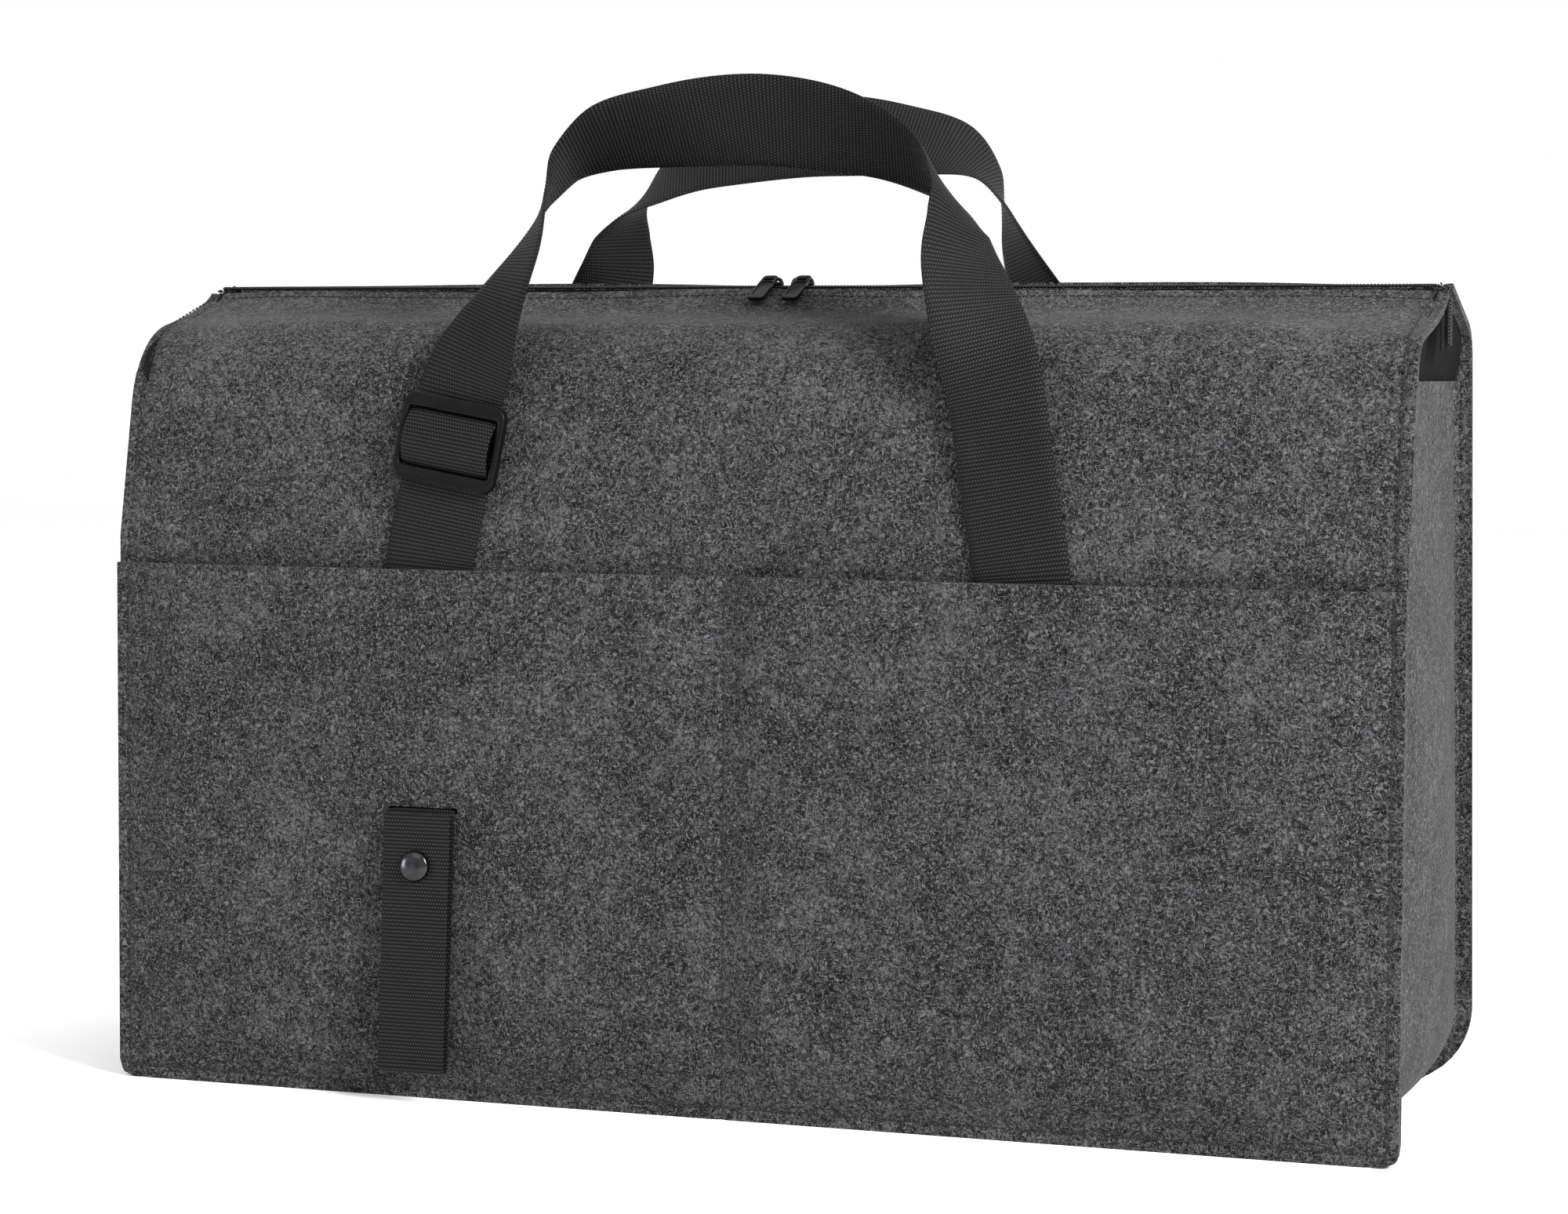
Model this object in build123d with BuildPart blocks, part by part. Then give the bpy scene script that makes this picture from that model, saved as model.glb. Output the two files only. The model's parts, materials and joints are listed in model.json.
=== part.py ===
"""A wide felt carry bag: sewn felt shell, top zip, front pocket, webbing handles and a snap loop.

Millimetres. X is the width, the front faces -Y, +Z is up, and the origin is the centre of the base.
"""

from math import atan2, cos, degrees, radians, sin

from build123d import *
import os

os.makedirs("parts", exist_ok=True)

# ---- driving dimensions of the bag ----
bag_width = 558.0
base_depth = 188.0
felt = 3.0
pocket_height = 224.0
upright_height = 235.0  # the front face is upright to here, then leans back
gusset_height = 305.0  # top edge of the side walls
zip_height = 344.0  # felt edges beside the zip
front_lean = 16.0
front_shoulder_height = 326.0
front_shoulder_radius = 35.0
back_lean = 34.4
back_shoulder_height = 332.0
back_shoulder_radius = 30.0
seam_allowance = 7.0
gusset_corner_radius = 28.0
pocket_slack = 5.0
pocket_seam = 8.0
below_base = 20.0

# ---- zip ----
zip_gap = 12.0
tape_thick = 0.8
tape_reach = 20.0  # tape edge to the middle of the zip
tape_parting = 0.7
coil_width = 2.5
coil_high = 2.2
tail_length = 24.0
slider_length = 10.0
slider_width = 8.5
slider_wall = 1.7
slider_gap = 0.3
slider_post = 0.8
slider_rim = 0.8
bar_radius = 0.8
bar_rise = 2.4
pull_width = 7.5
pull_length = 24.0
pull_thick = 1.6
eye_gap = 0.35
eye_wall = 0.9
eye_width = 2.4
ring_offset = 0.6
left_slider_x = -12.5
right_slider_x = 1.5

# ---- webbing handles ----
webbing_width = 40.0
webbing_thick = 1.8
anchor_half_span = 128.5
handle_top_height = 432.0
root_length = 62.0
root_gap = 1.2  # between a leg and the felt behind it
handle_sway = 5.0
front_handle_lean = 38.0  # top of the handle towards the zip
back_handle_lean = 14.0
back_ease = 3.0  # how far the back legs stand off at their straight end
front_handle_shift = -3.0
back_handle_shift = -12.0
leg_lean = 10.0  # degrees, inward
leg_back = 4.0  # degrees, backward

# ---- strap adjusters ----
glide_side = 2.9  # frame beside the window
webbing_ease = 0.6  # window beside the webbing
glide_corner = 6.0
glide_edge = 0.9
glide_high = 37.0
glide_thick = 4.0
glide_bar = 6.0
glide_window_width = webbing_width + 2 * webbing_ease
glide_width = glide_window_width + 2 * glide_side
centre_bar = 6.0
centre_bar_thick = 2.0
glide_centre_height = 277.0
glide_clear = 0.6
wrap_gap = 0.3

# ---- snap loop ----
loop_x = -132.0
loop_width = 30.0
loop_thick = 1.4
slit_height = 123.0
slit_width = 32.0
slit_open = 2.4
loop_length = 107.0
loop_lean = 4.0  # degrees out from the pocket
loop_gap = 3.0
loop_stand_off = 1.3
hinge_clear = 1.1
snap_drop = 23.0
snap_cap_radius = 6.5
shank_radius = 1.5
tack_width = 2.6
tack_high = 4.0
tack_thick = 0.7
tongue_high = 32.0  # of the loop, behind the pocket felt
tongue_reach = 0.4
leaf_end = 1.5
cap_rise = 2.4
cap_flat_edge = 0.4
stud_radius = 3.0
stud_gap = 0.25
stud_clear = 1.0
socket_radius = 5.4
socket_wall = 0.5
post_radius = 4.6
post_head = 0.7

half_width = bag_width / 2
front_y = -base_depth / 2 + felt  # outer face of the front panel
back_y = base_depth / 2
pocket_y = front_y - felt  # pocket felt where it is sewn down
pocket_face_y = pocket_y - pocket_slack
gusset_x = half_width - seam_allowance


def save(piece, name):
    """Label a finished piece and write its file."""
    piece.part.label = name
    export_step(piece.part, "parts/" + name + ".step")


# ---- outline of the shell across its depth ----
back_slope = back_lean / back_shoulder_height
with BuildSketch(Plane.YZ) as outline:
    with BuildLine():
        Polyline(
            (front_y, -below_base),
            (front_y, upright_height),
            (front_y + front_lean, front_shoulder_height),
            (-zip_gap / 2, zip_height),
            (zip_gap / 2, zip_height),
            (back_y - back_lean, back_shoulder_height),
            (back_y + below_base * back_slope, -below_base),
            close=True,
        )
    make_face()
    front_shoulder = (front_y + front_lean, front_shoulder_height)
    fillet(outline.vertices().sort_by_distance(front_shoulder)[0], front_shoulder_radius)
    back_shoulder = (back_y - back_lean, back_shoulder_height)
    fillet(outline.vertices().sort_by_distance(back_shoulder)[0], back_shoulder_radius)

with BuildSketch(Plane.YZ) as inside:
    add(outline.sketch_local)
    offset(amount=-felt, kind=Kind.INTERSECTION)

with BuildSketch(Plane.YZ) as under_tape:
    add(outline.sketch_local)
    offset(amount=-felt - tape_thick, kind=Kind.INTERSECTION)


def shell_panel(side):
    """One felt panel with its half of the roof: side -1 is the front, +1 the back."""
    with BuildPart() as panel:
        with BuildSketch(Plane.YZ):
            add(outline.sketch_local)
            add(inside.sketch_local, mode=Mode.SUBTRACT)
            with Locations((side * (zip_gap / 2 + base_depth / 2), zip_height / 2)):
                Rectangle(base_depth, zip_height, mode=Mode.INTERSECT)
        extrude(amount=half_width, both=True)
    return panel


front_panel = shell_panel(-1)
save(front_panel, "front_panel")
back_panel = shell_panel(1)
save(back_panel, "back_panel")

# ---- gusset: one strip of felt down one side, under the base and up the other ----
with BuildPart() as recess:
    with BuildSketch(Plane.XZ):
        with Locations((0, gusset_height / 2)):
            Rectangle(bag_width + 2, gusset_height + 2)
        with Locations((0, (gusset_height + seam_allowance) / 2 + 1)):
            RectangleRounded(
                2 * gusset_x,
                gusset_height - seam_allowance + 2,
                gusset_corner_radius,
                mode=Mode.SUBTRACT,
            )
        with Locations((0, gusset_height)):
            Rectangle(2 * gusset_x, 2 * gusset_corner_radius, mode=Mode.SUBTRACT)
    extrude(amount=base_depth, both=True)
    with BuildSketch(Plane.YZ):
        add(inside.sketch_local)
        offset(amount=-felt, kind=Kind.INTERSECTION)
        with Locations((0, -below_base / 2)):
            Rectangle(2 * base_depth, below_base, mode=Mode.SUBTRACT)
        with Locations((0, felt / 2 - 1)):
            Rectangle(base_depth - 4 * felt, felt + 2)
    extrude(amount=half_width + 2, both=True, mode=Mode.INTERSECT)

with BuildPart() as gusset:
    with BuildSketch(Plane.YZ):
        add(inside.sketch_local)
        with Locations((0, gusset_height / 2)):
            Rectangle(2 * base_depth, gusset_height, mode=Mode.INTERSECT)
    extrude(amount=half_width, both=True)
    with BuildSketch(Plane.XZ):
        with Locations((0, gusset_height)):
            RectangleRounded(
                2 * (gusset_x - felt),
                2 * (gusset_height - seam_allowance - felt),
                gusset_corner_radius - felt,
            )
    extrude(amount=base_depth, both=True, mode=Mode.SUBTRACT)
    add(recess.part, mode=Mode.SUBTRACT)
save(gusset, "gusset")

# ---- front pocket: sewn down both sides, along the base and down the middle ----
with BuildPart() as front_pocket:
    with BuildSketch(Plane.XY):
        with BuildLine():
            Polyline(
                (-half_width, front_y),
                (-half_width, pocket_y),
                (-half_width + 3 * pocket_seam, pocket_face_y),
                (-2 * pocket_seam, pocket_face_y),
                (0, pocket_y),
                (2 * pocket_seam, pocket_face_y),
                (half_width - 3 * pocket_seam, pocket_face_y),
                (half_width, pocket_y),
                (half_width, front_y),
                close=True,
            )
        make_face()
    extrude(amount=pocket_height)
    for side in (-1, 1):
        with BuildSketch(Plane.XY.offset(pocket_seam)):
            with BuildLine():
                Polyline(
                    (side * (half_width - pocket_seam), front_y),
                    (side * (half_width - 3 * pocket_seam), pocket_face_y + felt),
                    (side * 2 * pocket_seam, pocket_face_y + felt),
                    (side * pocket_seam / 2, front_y),
                    close=True,
                )
            make_face()
        extrude(amount=pocket_height, mode=Mode.SUBTRACT)
    with Locations((loop_x, pocket_face_y + felt / 2, slit_height)):
        Box(slit_width, felt + 2, slit_open, mode=Mode.SUBTRACT)
save(front_pocket, "front_pocket")

# ---- woven ends that close the bag between the gusset and the roof ----
end_thick = 1.2
end_overlap = 12.0


def end_panel(side):
    """The woven closure at one end, lapped inside the top of the gusset."""
    with BuildPart() as end:
        with BuildSketch(Plane.YZ.offset(side * (gusset_x - felt - end_thick / 2))):
            add(under_tape.sketch_local)
            with Locations((0, gusset_height - end_overlap + zip_height / 2)):
                Rectangle(2 * base_depth, zip_height, mode=Mode.INTERSECT)
        extrude(amount=end_thick / 2, both=True)
    return end


save(end_panel(-1), "end_panel_left")
save(end_panel(1), "end_panel_right")

# ---- zip ----
tape_top = zip_height - felt
tape_under = tape_top - tape_thick
coil_top = tape_top + coil_high
tape_end_x = half_width - 2.0
tail_x = tape_end_x - tape_thick / 2
coil_y = tape_parting + coil_width / 2


def zip_tape(side):
    """One tape, sewn under the felt edge, with its ends turned down over the woven ends."""
    with BuildPart() as tape:
        with BuildSketch(Plane.YZ):
            add(inside.sketch_local)
            add(under_tape.sketch_local, mode=Mode.SUBTRACT)
            with Locations((side * (tape_parting + tape_reach) / 2, zip_height)):
                Rectangle(tape_reach - tape_parting, zip_height / 4, mode=Mode.INTERSECT)
        extrude(amount=tape_end_x, both=True)
        tail_width = zip_gap / 2 - tape_parting
        tail_y = side * (tape_parting + tail_width / 2)
        with Locations(*[(end * tail_x, tail_y, tape_top - tail_length / 2) for end in (-1, 1)]):
            Box(tape_thick, tail_width, tail_length)
    return tape


def zip_chain(side):
    """One row of coil along the tape edge and down both turned ends."""
    with BuildPart() as chain:
        with Locations((0, side * coil_y, tape_top + coil_high / 2)):
            Box(2 * tape_end_x, coil_width, coil_high)
        for end in (-1, 1):
            outer = tape_end_x + coil_high / 2
            with Locations((end * outer, side * coil_y, coil_top - tail_length / 2)):
                Box(coil_high, coil_width, tail_length)
    return chain


save(zip_tape(-1), "zip_tape_front")
save(zip_tape(1), "zip_tape_back")
save(zip_chain(-1), "zip_chain_front")
save(zip_chain(1), "zip_chain_back")

stop_x = half_width - 9.0
stop_wide = 2 * (tape_parting + coil_width)
with BuildPart() as zip_stops:
    with Locations((-stop_x, 0, coil_top + 0.5), (stop_x, 0, coil_top + 0.5)):
        Box(3.0, stop_wide, 1.0)
save(zip_stops, "zip_stops")

plate_under = coil_top + slider_gap
plate_top = plate_under + slider_wall
belly_top = tape_under - slider_gap
bar_z = plate_top + bar_rise


def slider(x, side):
    """A zip slider, its parting post at the inner end, its bar along the zip."""
    with BuildPart() as body:
        with Locations((x, 0, (plate_under + plate_top) / 2)):
            Box(slider_length, slider_width, slider_wall)
        with Locations((x, 0, belly_top - slider_wall / 2)):
            Box(slider_length, slider_width, slider_wall)
        fillet(body.edges().filter_by(Axis.Z), 2.0)
        rim_high = plate_under - tape_top - slider_gap
        rim_y = slider_width / 2 - slider_rim / 2
        for edge in (-1, 1):
            with Locations((x, edge * rim_y, plate_under - rim_high / 2)):
                Box(slider_length - 4.2, slider_rim, rim_high)
        post_x = x - side * (slider_length / 2 - 1.8)
        with Locations((post_x, 0, (belly_top + plate_under) / 2)):
            Box(2.4, slider_post, plate_under - belly_top)
        with BuildSketch(Plane.YZ.offset(x)):
            with Locations((0, bar_z)):
                Circle(bar_radius)
        extrude(amount=slider_length / 2, both=True)
        for end in (-1, 1):
            with Locations((x + end * (slider_length / 2 - 0.8), 0, (plate_top + bar_z) / 2)):
                Box(1.6, 2 * bar_radius, bar_z - plate_top)
    return body


def pull(x, side):
    """A pull tab lying on the front roof, its eye round the slider's bar."""
    roof_drop = degrees(atan2(zip_height - front_shoulder_height, -front_y - front_lean - zip_gap / 2))
    tab_plane = Plane((x + side * 0.6, 0, bar_z), x_dir=(1, 0, 0), z_dir=(0, 0, 1))
    tab_plane = tab_plane.rotated((roof_drop, 0, 0))
    eye_radius = bar_radius + eye_gap
    with BuildPart() as tab:
        with BuildSketch(tab_plane.offset(-pull_thick / 2)):
            with Locations((0, -pull_length / 2)):
                RectangleRounded(pull_width, pull_length, 2.0)
            with Locations((0, -pull_length * 0.62)):
                SlotOverall(pull_length * 0.42, 2.0, rotation=90, mode=Mode.SUBTRACT)
        extrude(amount=pull_thick)
        with BuildSketch(Plane.YZ.offset(x + side * 0.6)):
            with Locations((0, bar_z)):
                Circle(eye_radius + eye_wall)
        extrude(amount=eye_width, both=True)
        with BuildSketch(Plane.YZ.offset(x)):
            with Locations((0, bar_z)):
                Circle(eye_radius)
        extrude(amount=slider_length, both=True, mode=Mode.SUBTRACT)
        for end in (-1, 1):
            with Locations((x + side * ring_offset + end * (eye_width + 2.0), 0, bar_z)):
                Box(4.0, 9.0, 9.0, mode=Mode.SUBTRACT)
    return tab


save(slider(left_slider_x, -1), "slider_left")
save(slider(right_slider_x, 1), "slider_right")
save(pull(left_slider_x, -1), "pull_left")
save(pull(right_slider_x, 1), "pull_right")

# ---- handles ----
leg_start = pocket_height + 2.0
band_height = webbing_width * 0.93


def felt_front(z):
    """Outer face of the front panel at a height below the shoulder."""
    rise = max(0.0, z - upright_height)
    return front_y + rise * front_lean / (front_shoulder_height - upright_height)


def felt_back(z):
    """Outer face of the back panel at a height below the shoulder."""
    return back_y - z * back_slope


def edge_vector(turn, droop=0.0):
    """Direction from a strap's inner edge to its outer edge, on the left leg."""
    return Vector(-cos(radians(turn)), sin(radians(turn)), -droop)


straight_end = glide_centre_height + glide_high / 2 + 6.0
leg_rise = straight_end - leg_start
straight_half = anchor_half_span - leg_rise * sin(radians(leg_lean)) / cos(radians(leg_lean))
apex_z = handle_top_height - band_height / 2


def stations(start_y, straight_y, lean):
    """Left half of a handle: centre of the strap and its edge direction, from the leg up."""
    rise = apex_z - straight_end

    def upper(half_share, lean_share, rise_share, turn, droop=0.0):
        across = -half_share * anchor_half_span
        point = Vector(across, straight_y + lean_share * lean, straight_end + rise_share * rise)
        return point, edge_vector(turn, droop)

    return [
        (Vector(-anchor_half_span, start_y, leg_start), edge_vector(0)),
        (Vector(-straight_half, straight_y, straight_end), edge_vector(0)),
        upper(0.80, 0.13, 0.32, 34),
        upper(0.73, 0.34, 0.54, 54),
        upper(0.69, 0.50, 0.72, 74),
        upper(0.65, 0.63, 0.84, 90, 0.1),
        upper(0.54, 0.82, 0.93, 90, 0.8),
        upper(0.35, 0.95, 0.975, 90, 1.4),
    ]


def handle(start_y, straight_y, lean, sway):
    """A handle as one strap: flat legs that twist edge-on at the shoulders into a top band."""
    left = stations(start_y, straight_y, lean)
    apex = (Vector(0, straight_y + lean, apex_z), edge_vector(90, 2.5))
    right = [(Vector(-p.X, p.Y, p.Z), Vector(-e.X, e.Y, e.Z)) for p, e in reversed(left)]
    path = []
    for point, edge in left + [apex] + right:
        share = max(0.0, (point.Z - straight_end) / (apex_z - straight_end))
        path.append((point + Vector(sway * share, 0, 0), edge))
    leg_up = (path[1][0] - path[0][0]).normalized()
    fixed = {0: Vector(0, 0, 1), 1: leg_up}
    fixed[len(path) - 2] = Vector(leg_up.X, -leg_up.Y, -leg_up.Z)
    fixed[len(path) - 1] = Vector(0, 0, -1)
    with BuildPart() as strap:
        for n, (point, edge) in enumerate(path):
            before, after = path[max(0, n - 1)][0], path[min(len(path) - 1, n + 1)][0]
            along = fixed.get(n, (after - before).normalized())
            across = edge - along * edge.dot(along)
            with BuildSketch(Plane(point, x_dir=across, z_dir=along)):
                Rectangle(webbing_width, webbing_thick)
        loft(ruled=True)
    return strap


front_start_y = front_y - root_gap - webbing_thick / 2
front_straight_y = front_start_y + leg_rise * sin(radians(leg_back))
front_strap = handle(front_start_y, front_straight_y, front_handle_lean, handle_sway)
slid = Location((front_handle_shift, 0, 0))
with BuildPart() as handle_front:
    add(front_strap.part.moved(slid))
save(handle_front, "handle_front")

turned = Location((back_handle_shift, 0, 0), (0, 0, 180))
back_start_y = -(felt_back(leg_start) + root_gap + webbing_thick)
back_straight_y = -(felt_back(straight_end) + root_gap + webbing_thick + back_ease)
back_strap = handle(back_start_y, back_straight_y, back_handle_lean, handle_sway)
with BuildPart() as handle_back:
    add(back_strap.part.moved(turned))
save(handle_back, "handle_back")


def front_root(side):
    """The sewn end of a front leg, on the front panel inside the pocket."""
    with BuildPart() as root:
        across = front_handle_shift + side * anchor_half_span
        middle = (across, front_y - webbing_thick / 2, pocket_height - root_length / 2)
        with Locations(middle):
            Box(webbing_width, webbing_thick, root_length)
    return root


def back_root(side):
    """The sewn end of a back leg, flat on the leaning back panel."""
    lean = degrees(atan2(back_lean, back_shoulder_height))
    top = Vector(back_handle_shift + side * anchor_half_span, felt_back(pocket_height), pocket_height)
    up = Vector(0, -sin(radians(lean)), cos(radians(lean)))
    face = Plane(top - up * root_length / 2, x_dir=(1, 0, 0), z_dir=(0, cos(radians(lean)), sin(radians(lean))))
    with BuildPart() as root:
        with BuildSketch(face):
            Rectangle(webbing_width, root_length)
        extrude(amount=webbing_thick)
    return root


save(front_root(-1), "handle_root_front_left")
save(front_root(1), "handle_root_front_right")
save(back_root(-1), "handle_root_back_left")
save(back_root(1), "handle_root_back_right")


def leg_plane(start_y, straight_y):
    """Plane on the outer face of the left leg at the adjuster: x across, y up the leg."""
    low = Vector(-anchor_half_span, start_y, leg_start)
    high = Vector(-straight_half, straight_y, straight_end)
    along = (high - low).normalized()
    share = (glide_centre_height - leg_start) / (straight_end - leg_start)
    middle = low + (high - low) * share
    across = Vector(1, 0, 0) - along * along.X
    plane = Plane(middle, x_dir=across, z_dir=across.cross(along))
    return plane.offset(webbing_thick / 2)


def tri_glide(plane):
    """A moulded three-bar slide with a recessed centre bar."""
    window_high = glide_high - 2 * glide_bar
    with BuildPart() as glide:
        with BuildSketch(plane):
            RectangleRounded(glide_width, glide_high, glide_corner)
            RectangleRounded(glide_window_width, window_high, 1.5, mode=Mode.SUBTRACT)
        extrude(amount=glide_thick)
        fillet(glide.edges().group_by(Axis(plane.origin, plane.z_dir))[-1], glide_edge)
        with BuildSketch(plane):
            Rectangle(glide_window_width + 1.0, centre_bar)
        extrude(amount=centre_bar_thick)
    return glide


def adjuster_wrap(plane):
    """The bight of strap that comes through the glide and over its centre bar."""
    reach = glide_window_width / 2 - webbing_ease
    window_half = glide_high / 2 - glide_bar - wrap_gap
    inner = centre_bar / 2 + wrap_gap
    crown = centre_bar_thick + wrap_gap
    side_plane = Plane(plane.origin, x_dir=plane.y_dir, z_dir=plane.x_dir)
    with BuildPart() as wrap:
        with BuildSketch(side_plane):
            with BuildLine():
                Polyline(
                    (-window_half, 0),
                    (-window_half, webbing_thick),
                    (-inner - 1.0, crown + webbing_thick),
                    (inner + 1.0, crown + webbing_thick),
                    (window_half, webbing_thick),
                    (window_half, 0),
                    (inner + 1.6, 0),
                    (inner, crown),
                    (-inner, crown),
                    (-inner - 1.6, 0),
                    close=True,
                )
            make_face()
        extrude(amount=min(reach, webbing_width / 2), both=True)
    return wrap


front_leg = leg_plane(front_start_y, front_straight_y).offset(glide_clear)
front_glide = tri_glide(front_leg)
front_wrap = adjuster_wrap(front_leg)
with BuildPart() as tri_glide_front:
    add(front_glide.part.moved(slid))
save(tri_glide_front, "tri_glide_front")
with BuildPart() as adjuster_wrap_front:
    add(front_wrap.part.moved(slid))
save(adjuster_wrap_front, "adjuster_wrap_front")
back_leg = leg_plane(back_start_y, back_straight_y).offset(glide_clear)
back_glide = tri_glide(back_leg)
back_wrap = adjuster_wrap(back_leg)
with BuildPart() as tri_glide_back:
    add(back_glide.part.moved(turned))
save(tri_glide_back, "tri_glide_back")
with BuildPart() as adjuster_wrap_back:
    add(back_wrap.part.moved(turned))
save(adjuster_wrap_back, "adjuster_wrap_back")

# ---- snap loop ----
swing_y = pocket_face_y - loop_stand_off
down = Vector(0, -sin(radians(loop_lean)), -cos(radians(loop_lean)))
out = Vector(0, -cos(radians(loop_lean)), sin(radians(loop_lean)))
loop_top = Vector(loop_x, swing_y, slit_height)
leaf_step = loop_gap + loop_thick  # middle of one leaf to the middle of the other
fold_foot = loop_top + down * loop_length
loop_plane = Plane(loop_top, x_dir=(1, 0, 0), z_dir=out)  # y runs up the leaf
snap_plane = Plane(loop_top + down * snap_drop, x_dir=(1, 0, 0), z_dir=out)
back_face = loop_thick / 2
front_back_face = loop_thick / 2 + loop_gap
front_front_face = front_back_face + loop_thick

with BuildPart() as loop_root:
    tongue_back_y = pocket_face_y + felt + loop_thick
    with Locations((loop_x, (pocket_face_y - tongue_reach + tongue_back_y) / 2, slit_height)):
        Box(loop_width, tongue_back_y - pocket_face_y + tongue_reach, loop_thick)
    with Locations((loop_x, tongue_back_y - loop_thick / 2, slit_height + tongue_high / 2)):
        Box(loop_width, loop_thick, tongue_high + loop_thick)
save(loop_root, "loop_root")

with BuildPart() as loop_back_leaf:
    with BuildSketch(loop_plane.offset(-loop_thick / 2)):
        with Locations((0, -(loop_length + hinge_clear) / 2)):
            Rectangle(loop_width, loop_length - hinge_clear)
        with Locations((0, -snap_drop)):
            Circle(shank_radius, mode=Mode.SUBTRACT)
    extrude(amount=loop_thick)
    with BuildSketch(Plane(fold_foot + out * (leaf_step / 2), x_dir=out, z_dir=(1, 0, 0))):
        Circle(leaf_step / 2 + loop_thick / 2)
        Circle(leaf_step / 2 - loop_thick / 2, mode=Mode.SUBTRACT)
        with Locations((0, -leaf_step)):
            Rectangle(4 * leaf_step, 2 * leaf_step, mode=Mode.SUBTRACT)
    extrude(amount=loop_width / 2, both=True)
save(loop_back_leaf, "loop_back_leaf")

with BuildPart() as loop_front_leaf:
    with BuildSketch(loop_plane.offset(front_back_face)):
        with Locations((0, -(loop_length - hinge_clear + leaf_end) / 2)):
            Rectangle(loop_width, loop_length - hinge_clear - leaf_end)
        with Locations((0, -snap_drop)):
            Circle(shank_radius, mode=Mode.SUBTRACT)
    extrude(amount=loop_thick)
save(loop_front_leaf, "loop_front_leaf")

with BuildPart() as snap_cap:
    with BuildSketch(snap_plane.offset(front_front_face)):
        Circle(snap_cap_radius)
    extrude(amount=cap_rise)
    fillet(snap_cap.edges().group_by(Axis(snap_plane.origin, snap_plane.z_dir))[-1], cap_rise - cap_flat_edge)
    with BuildSketch(snap_plane.offset(front_back_face)):
        Circle(shank_radius)
    extrude(amount=loop_thick)
save(snap_cap, "snap_cap")

with BuildPart() as snap_socket:
    with BuildSketch(snap_plane.offset(back_face + socket_wall)):
        Circle(socket_radius)
        Circle(stud_radius + stud_gap, mode=Mode.SUBTRACT)
    extrude(amount=loop_gap - stud_clear)
    with BuildSketch(snap_plane.offset(front_back_face - socket_wall)):
        Circle(socket_radius)
    extrude(amount=socket_wall)
save(snap_socket, "snap_socket")

with BuildPart() as snap_stud:
    with BuildSketch(snap_plane.offset(back_face)):
        Circle(stud_radius)
    extrude(amount=loop_gap - stud_clear)
save(snap_stud, "snap_stud")

with BuildPart() as snap_post:
    with BuildSketch(snap_plane.offset(-back_face - post_head)):
        Circle(post_radius)
    extrude(amount=post_head)
    with BuildSketch(snap_plane.offset(-back_face)):
        Circle(shank_radius)
    extrude(amount=loop_thick)
save(snap_post, "snap_post")

with BuildPart() as slit_tacks:
    tack_out = slit_width / 2 + tack_width / 2 - 0.5
    tack_places = [(loop_x + end * tack_out, pocket_face_y - tack_thick / 2, slit_height) for end in (-1, 1)]
    with Locations(*tack_places):
        Box(tack_width, tack_thick, tack_high)
save(slit_tacks, "slit_tacks")
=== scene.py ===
"""Felt carry bag: the sewn shell, zip, webbing, adjusters and snap loop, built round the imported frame."""

import json
from math import atan2, ceil, cos, pi, radians, sin, tan

import bmesh
import bpy
import numpy as np
from bpy.props import FloatProperty, FloatVectorProperty, PointerProperty
from bpy.types import Operator, Panel, PropertyGroup
from mathutils import Matrix, Vector


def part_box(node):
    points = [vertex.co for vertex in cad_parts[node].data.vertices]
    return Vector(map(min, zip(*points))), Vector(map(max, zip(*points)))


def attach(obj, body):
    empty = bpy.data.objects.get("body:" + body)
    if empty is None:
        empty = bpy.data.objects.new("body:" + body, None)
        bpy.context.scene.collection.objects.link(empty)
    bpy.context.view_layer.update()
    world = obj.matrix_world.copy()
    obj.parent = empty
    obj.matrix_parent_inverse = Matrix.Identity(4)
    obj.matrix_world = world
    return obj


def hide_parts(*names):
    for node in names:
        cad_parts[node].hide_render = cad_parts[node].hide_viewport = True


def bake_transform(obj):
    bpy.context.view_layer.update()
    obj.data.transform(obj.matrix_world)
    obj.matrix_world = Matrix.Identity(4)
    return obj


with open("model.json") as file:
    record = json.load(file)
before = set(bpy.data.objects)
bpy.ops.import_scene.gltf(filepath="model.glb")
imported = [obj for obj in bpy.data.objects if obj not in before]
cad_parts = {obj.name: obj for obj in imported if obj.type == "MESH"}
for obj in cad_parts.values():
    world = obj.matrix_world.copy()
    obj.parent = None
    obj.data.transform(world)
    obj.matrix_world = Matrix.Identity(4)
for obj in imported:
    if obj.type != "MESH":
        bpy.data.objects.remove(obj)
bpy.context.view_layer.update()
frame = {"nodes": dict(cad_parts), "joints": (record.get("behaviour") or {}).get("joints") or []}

bl_info = {
    "name": "Felt Carry Bag",
    "version": (1, 0, 0),
    "blender": (4, 5, 0),
    "location": "View3D > Sidebar > Felt Bag",
    "description": "Builds a sewn felt bag with webbing handles, a zip and a snap loop",
    "category": "Object",
}

FRONT_LOW, FRONT_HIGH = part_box("front_panel")
TAPE_LOW, TAPE_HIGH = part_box("zip_tape_front")
POCKET_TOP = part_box("front_pocket")[1][2]
GUSSET_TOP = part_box("gusset")[1][2]
HALF_WIDTH = FRONT_HIGH[0]
FRONT_Y = FRONT_LOW[1]
BACK_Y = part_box("back_panel")[1][1]
ZIP_Z = FRONT_HIGH[2]
ZIP_HALF_GAP = -FRONT_HIGH[1]
JOINTS = {joint["name"]: joint for joint in frame["joints"]}
MM = 0.001


# ---------------------------------------------------------------- sizes and colours


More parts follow.
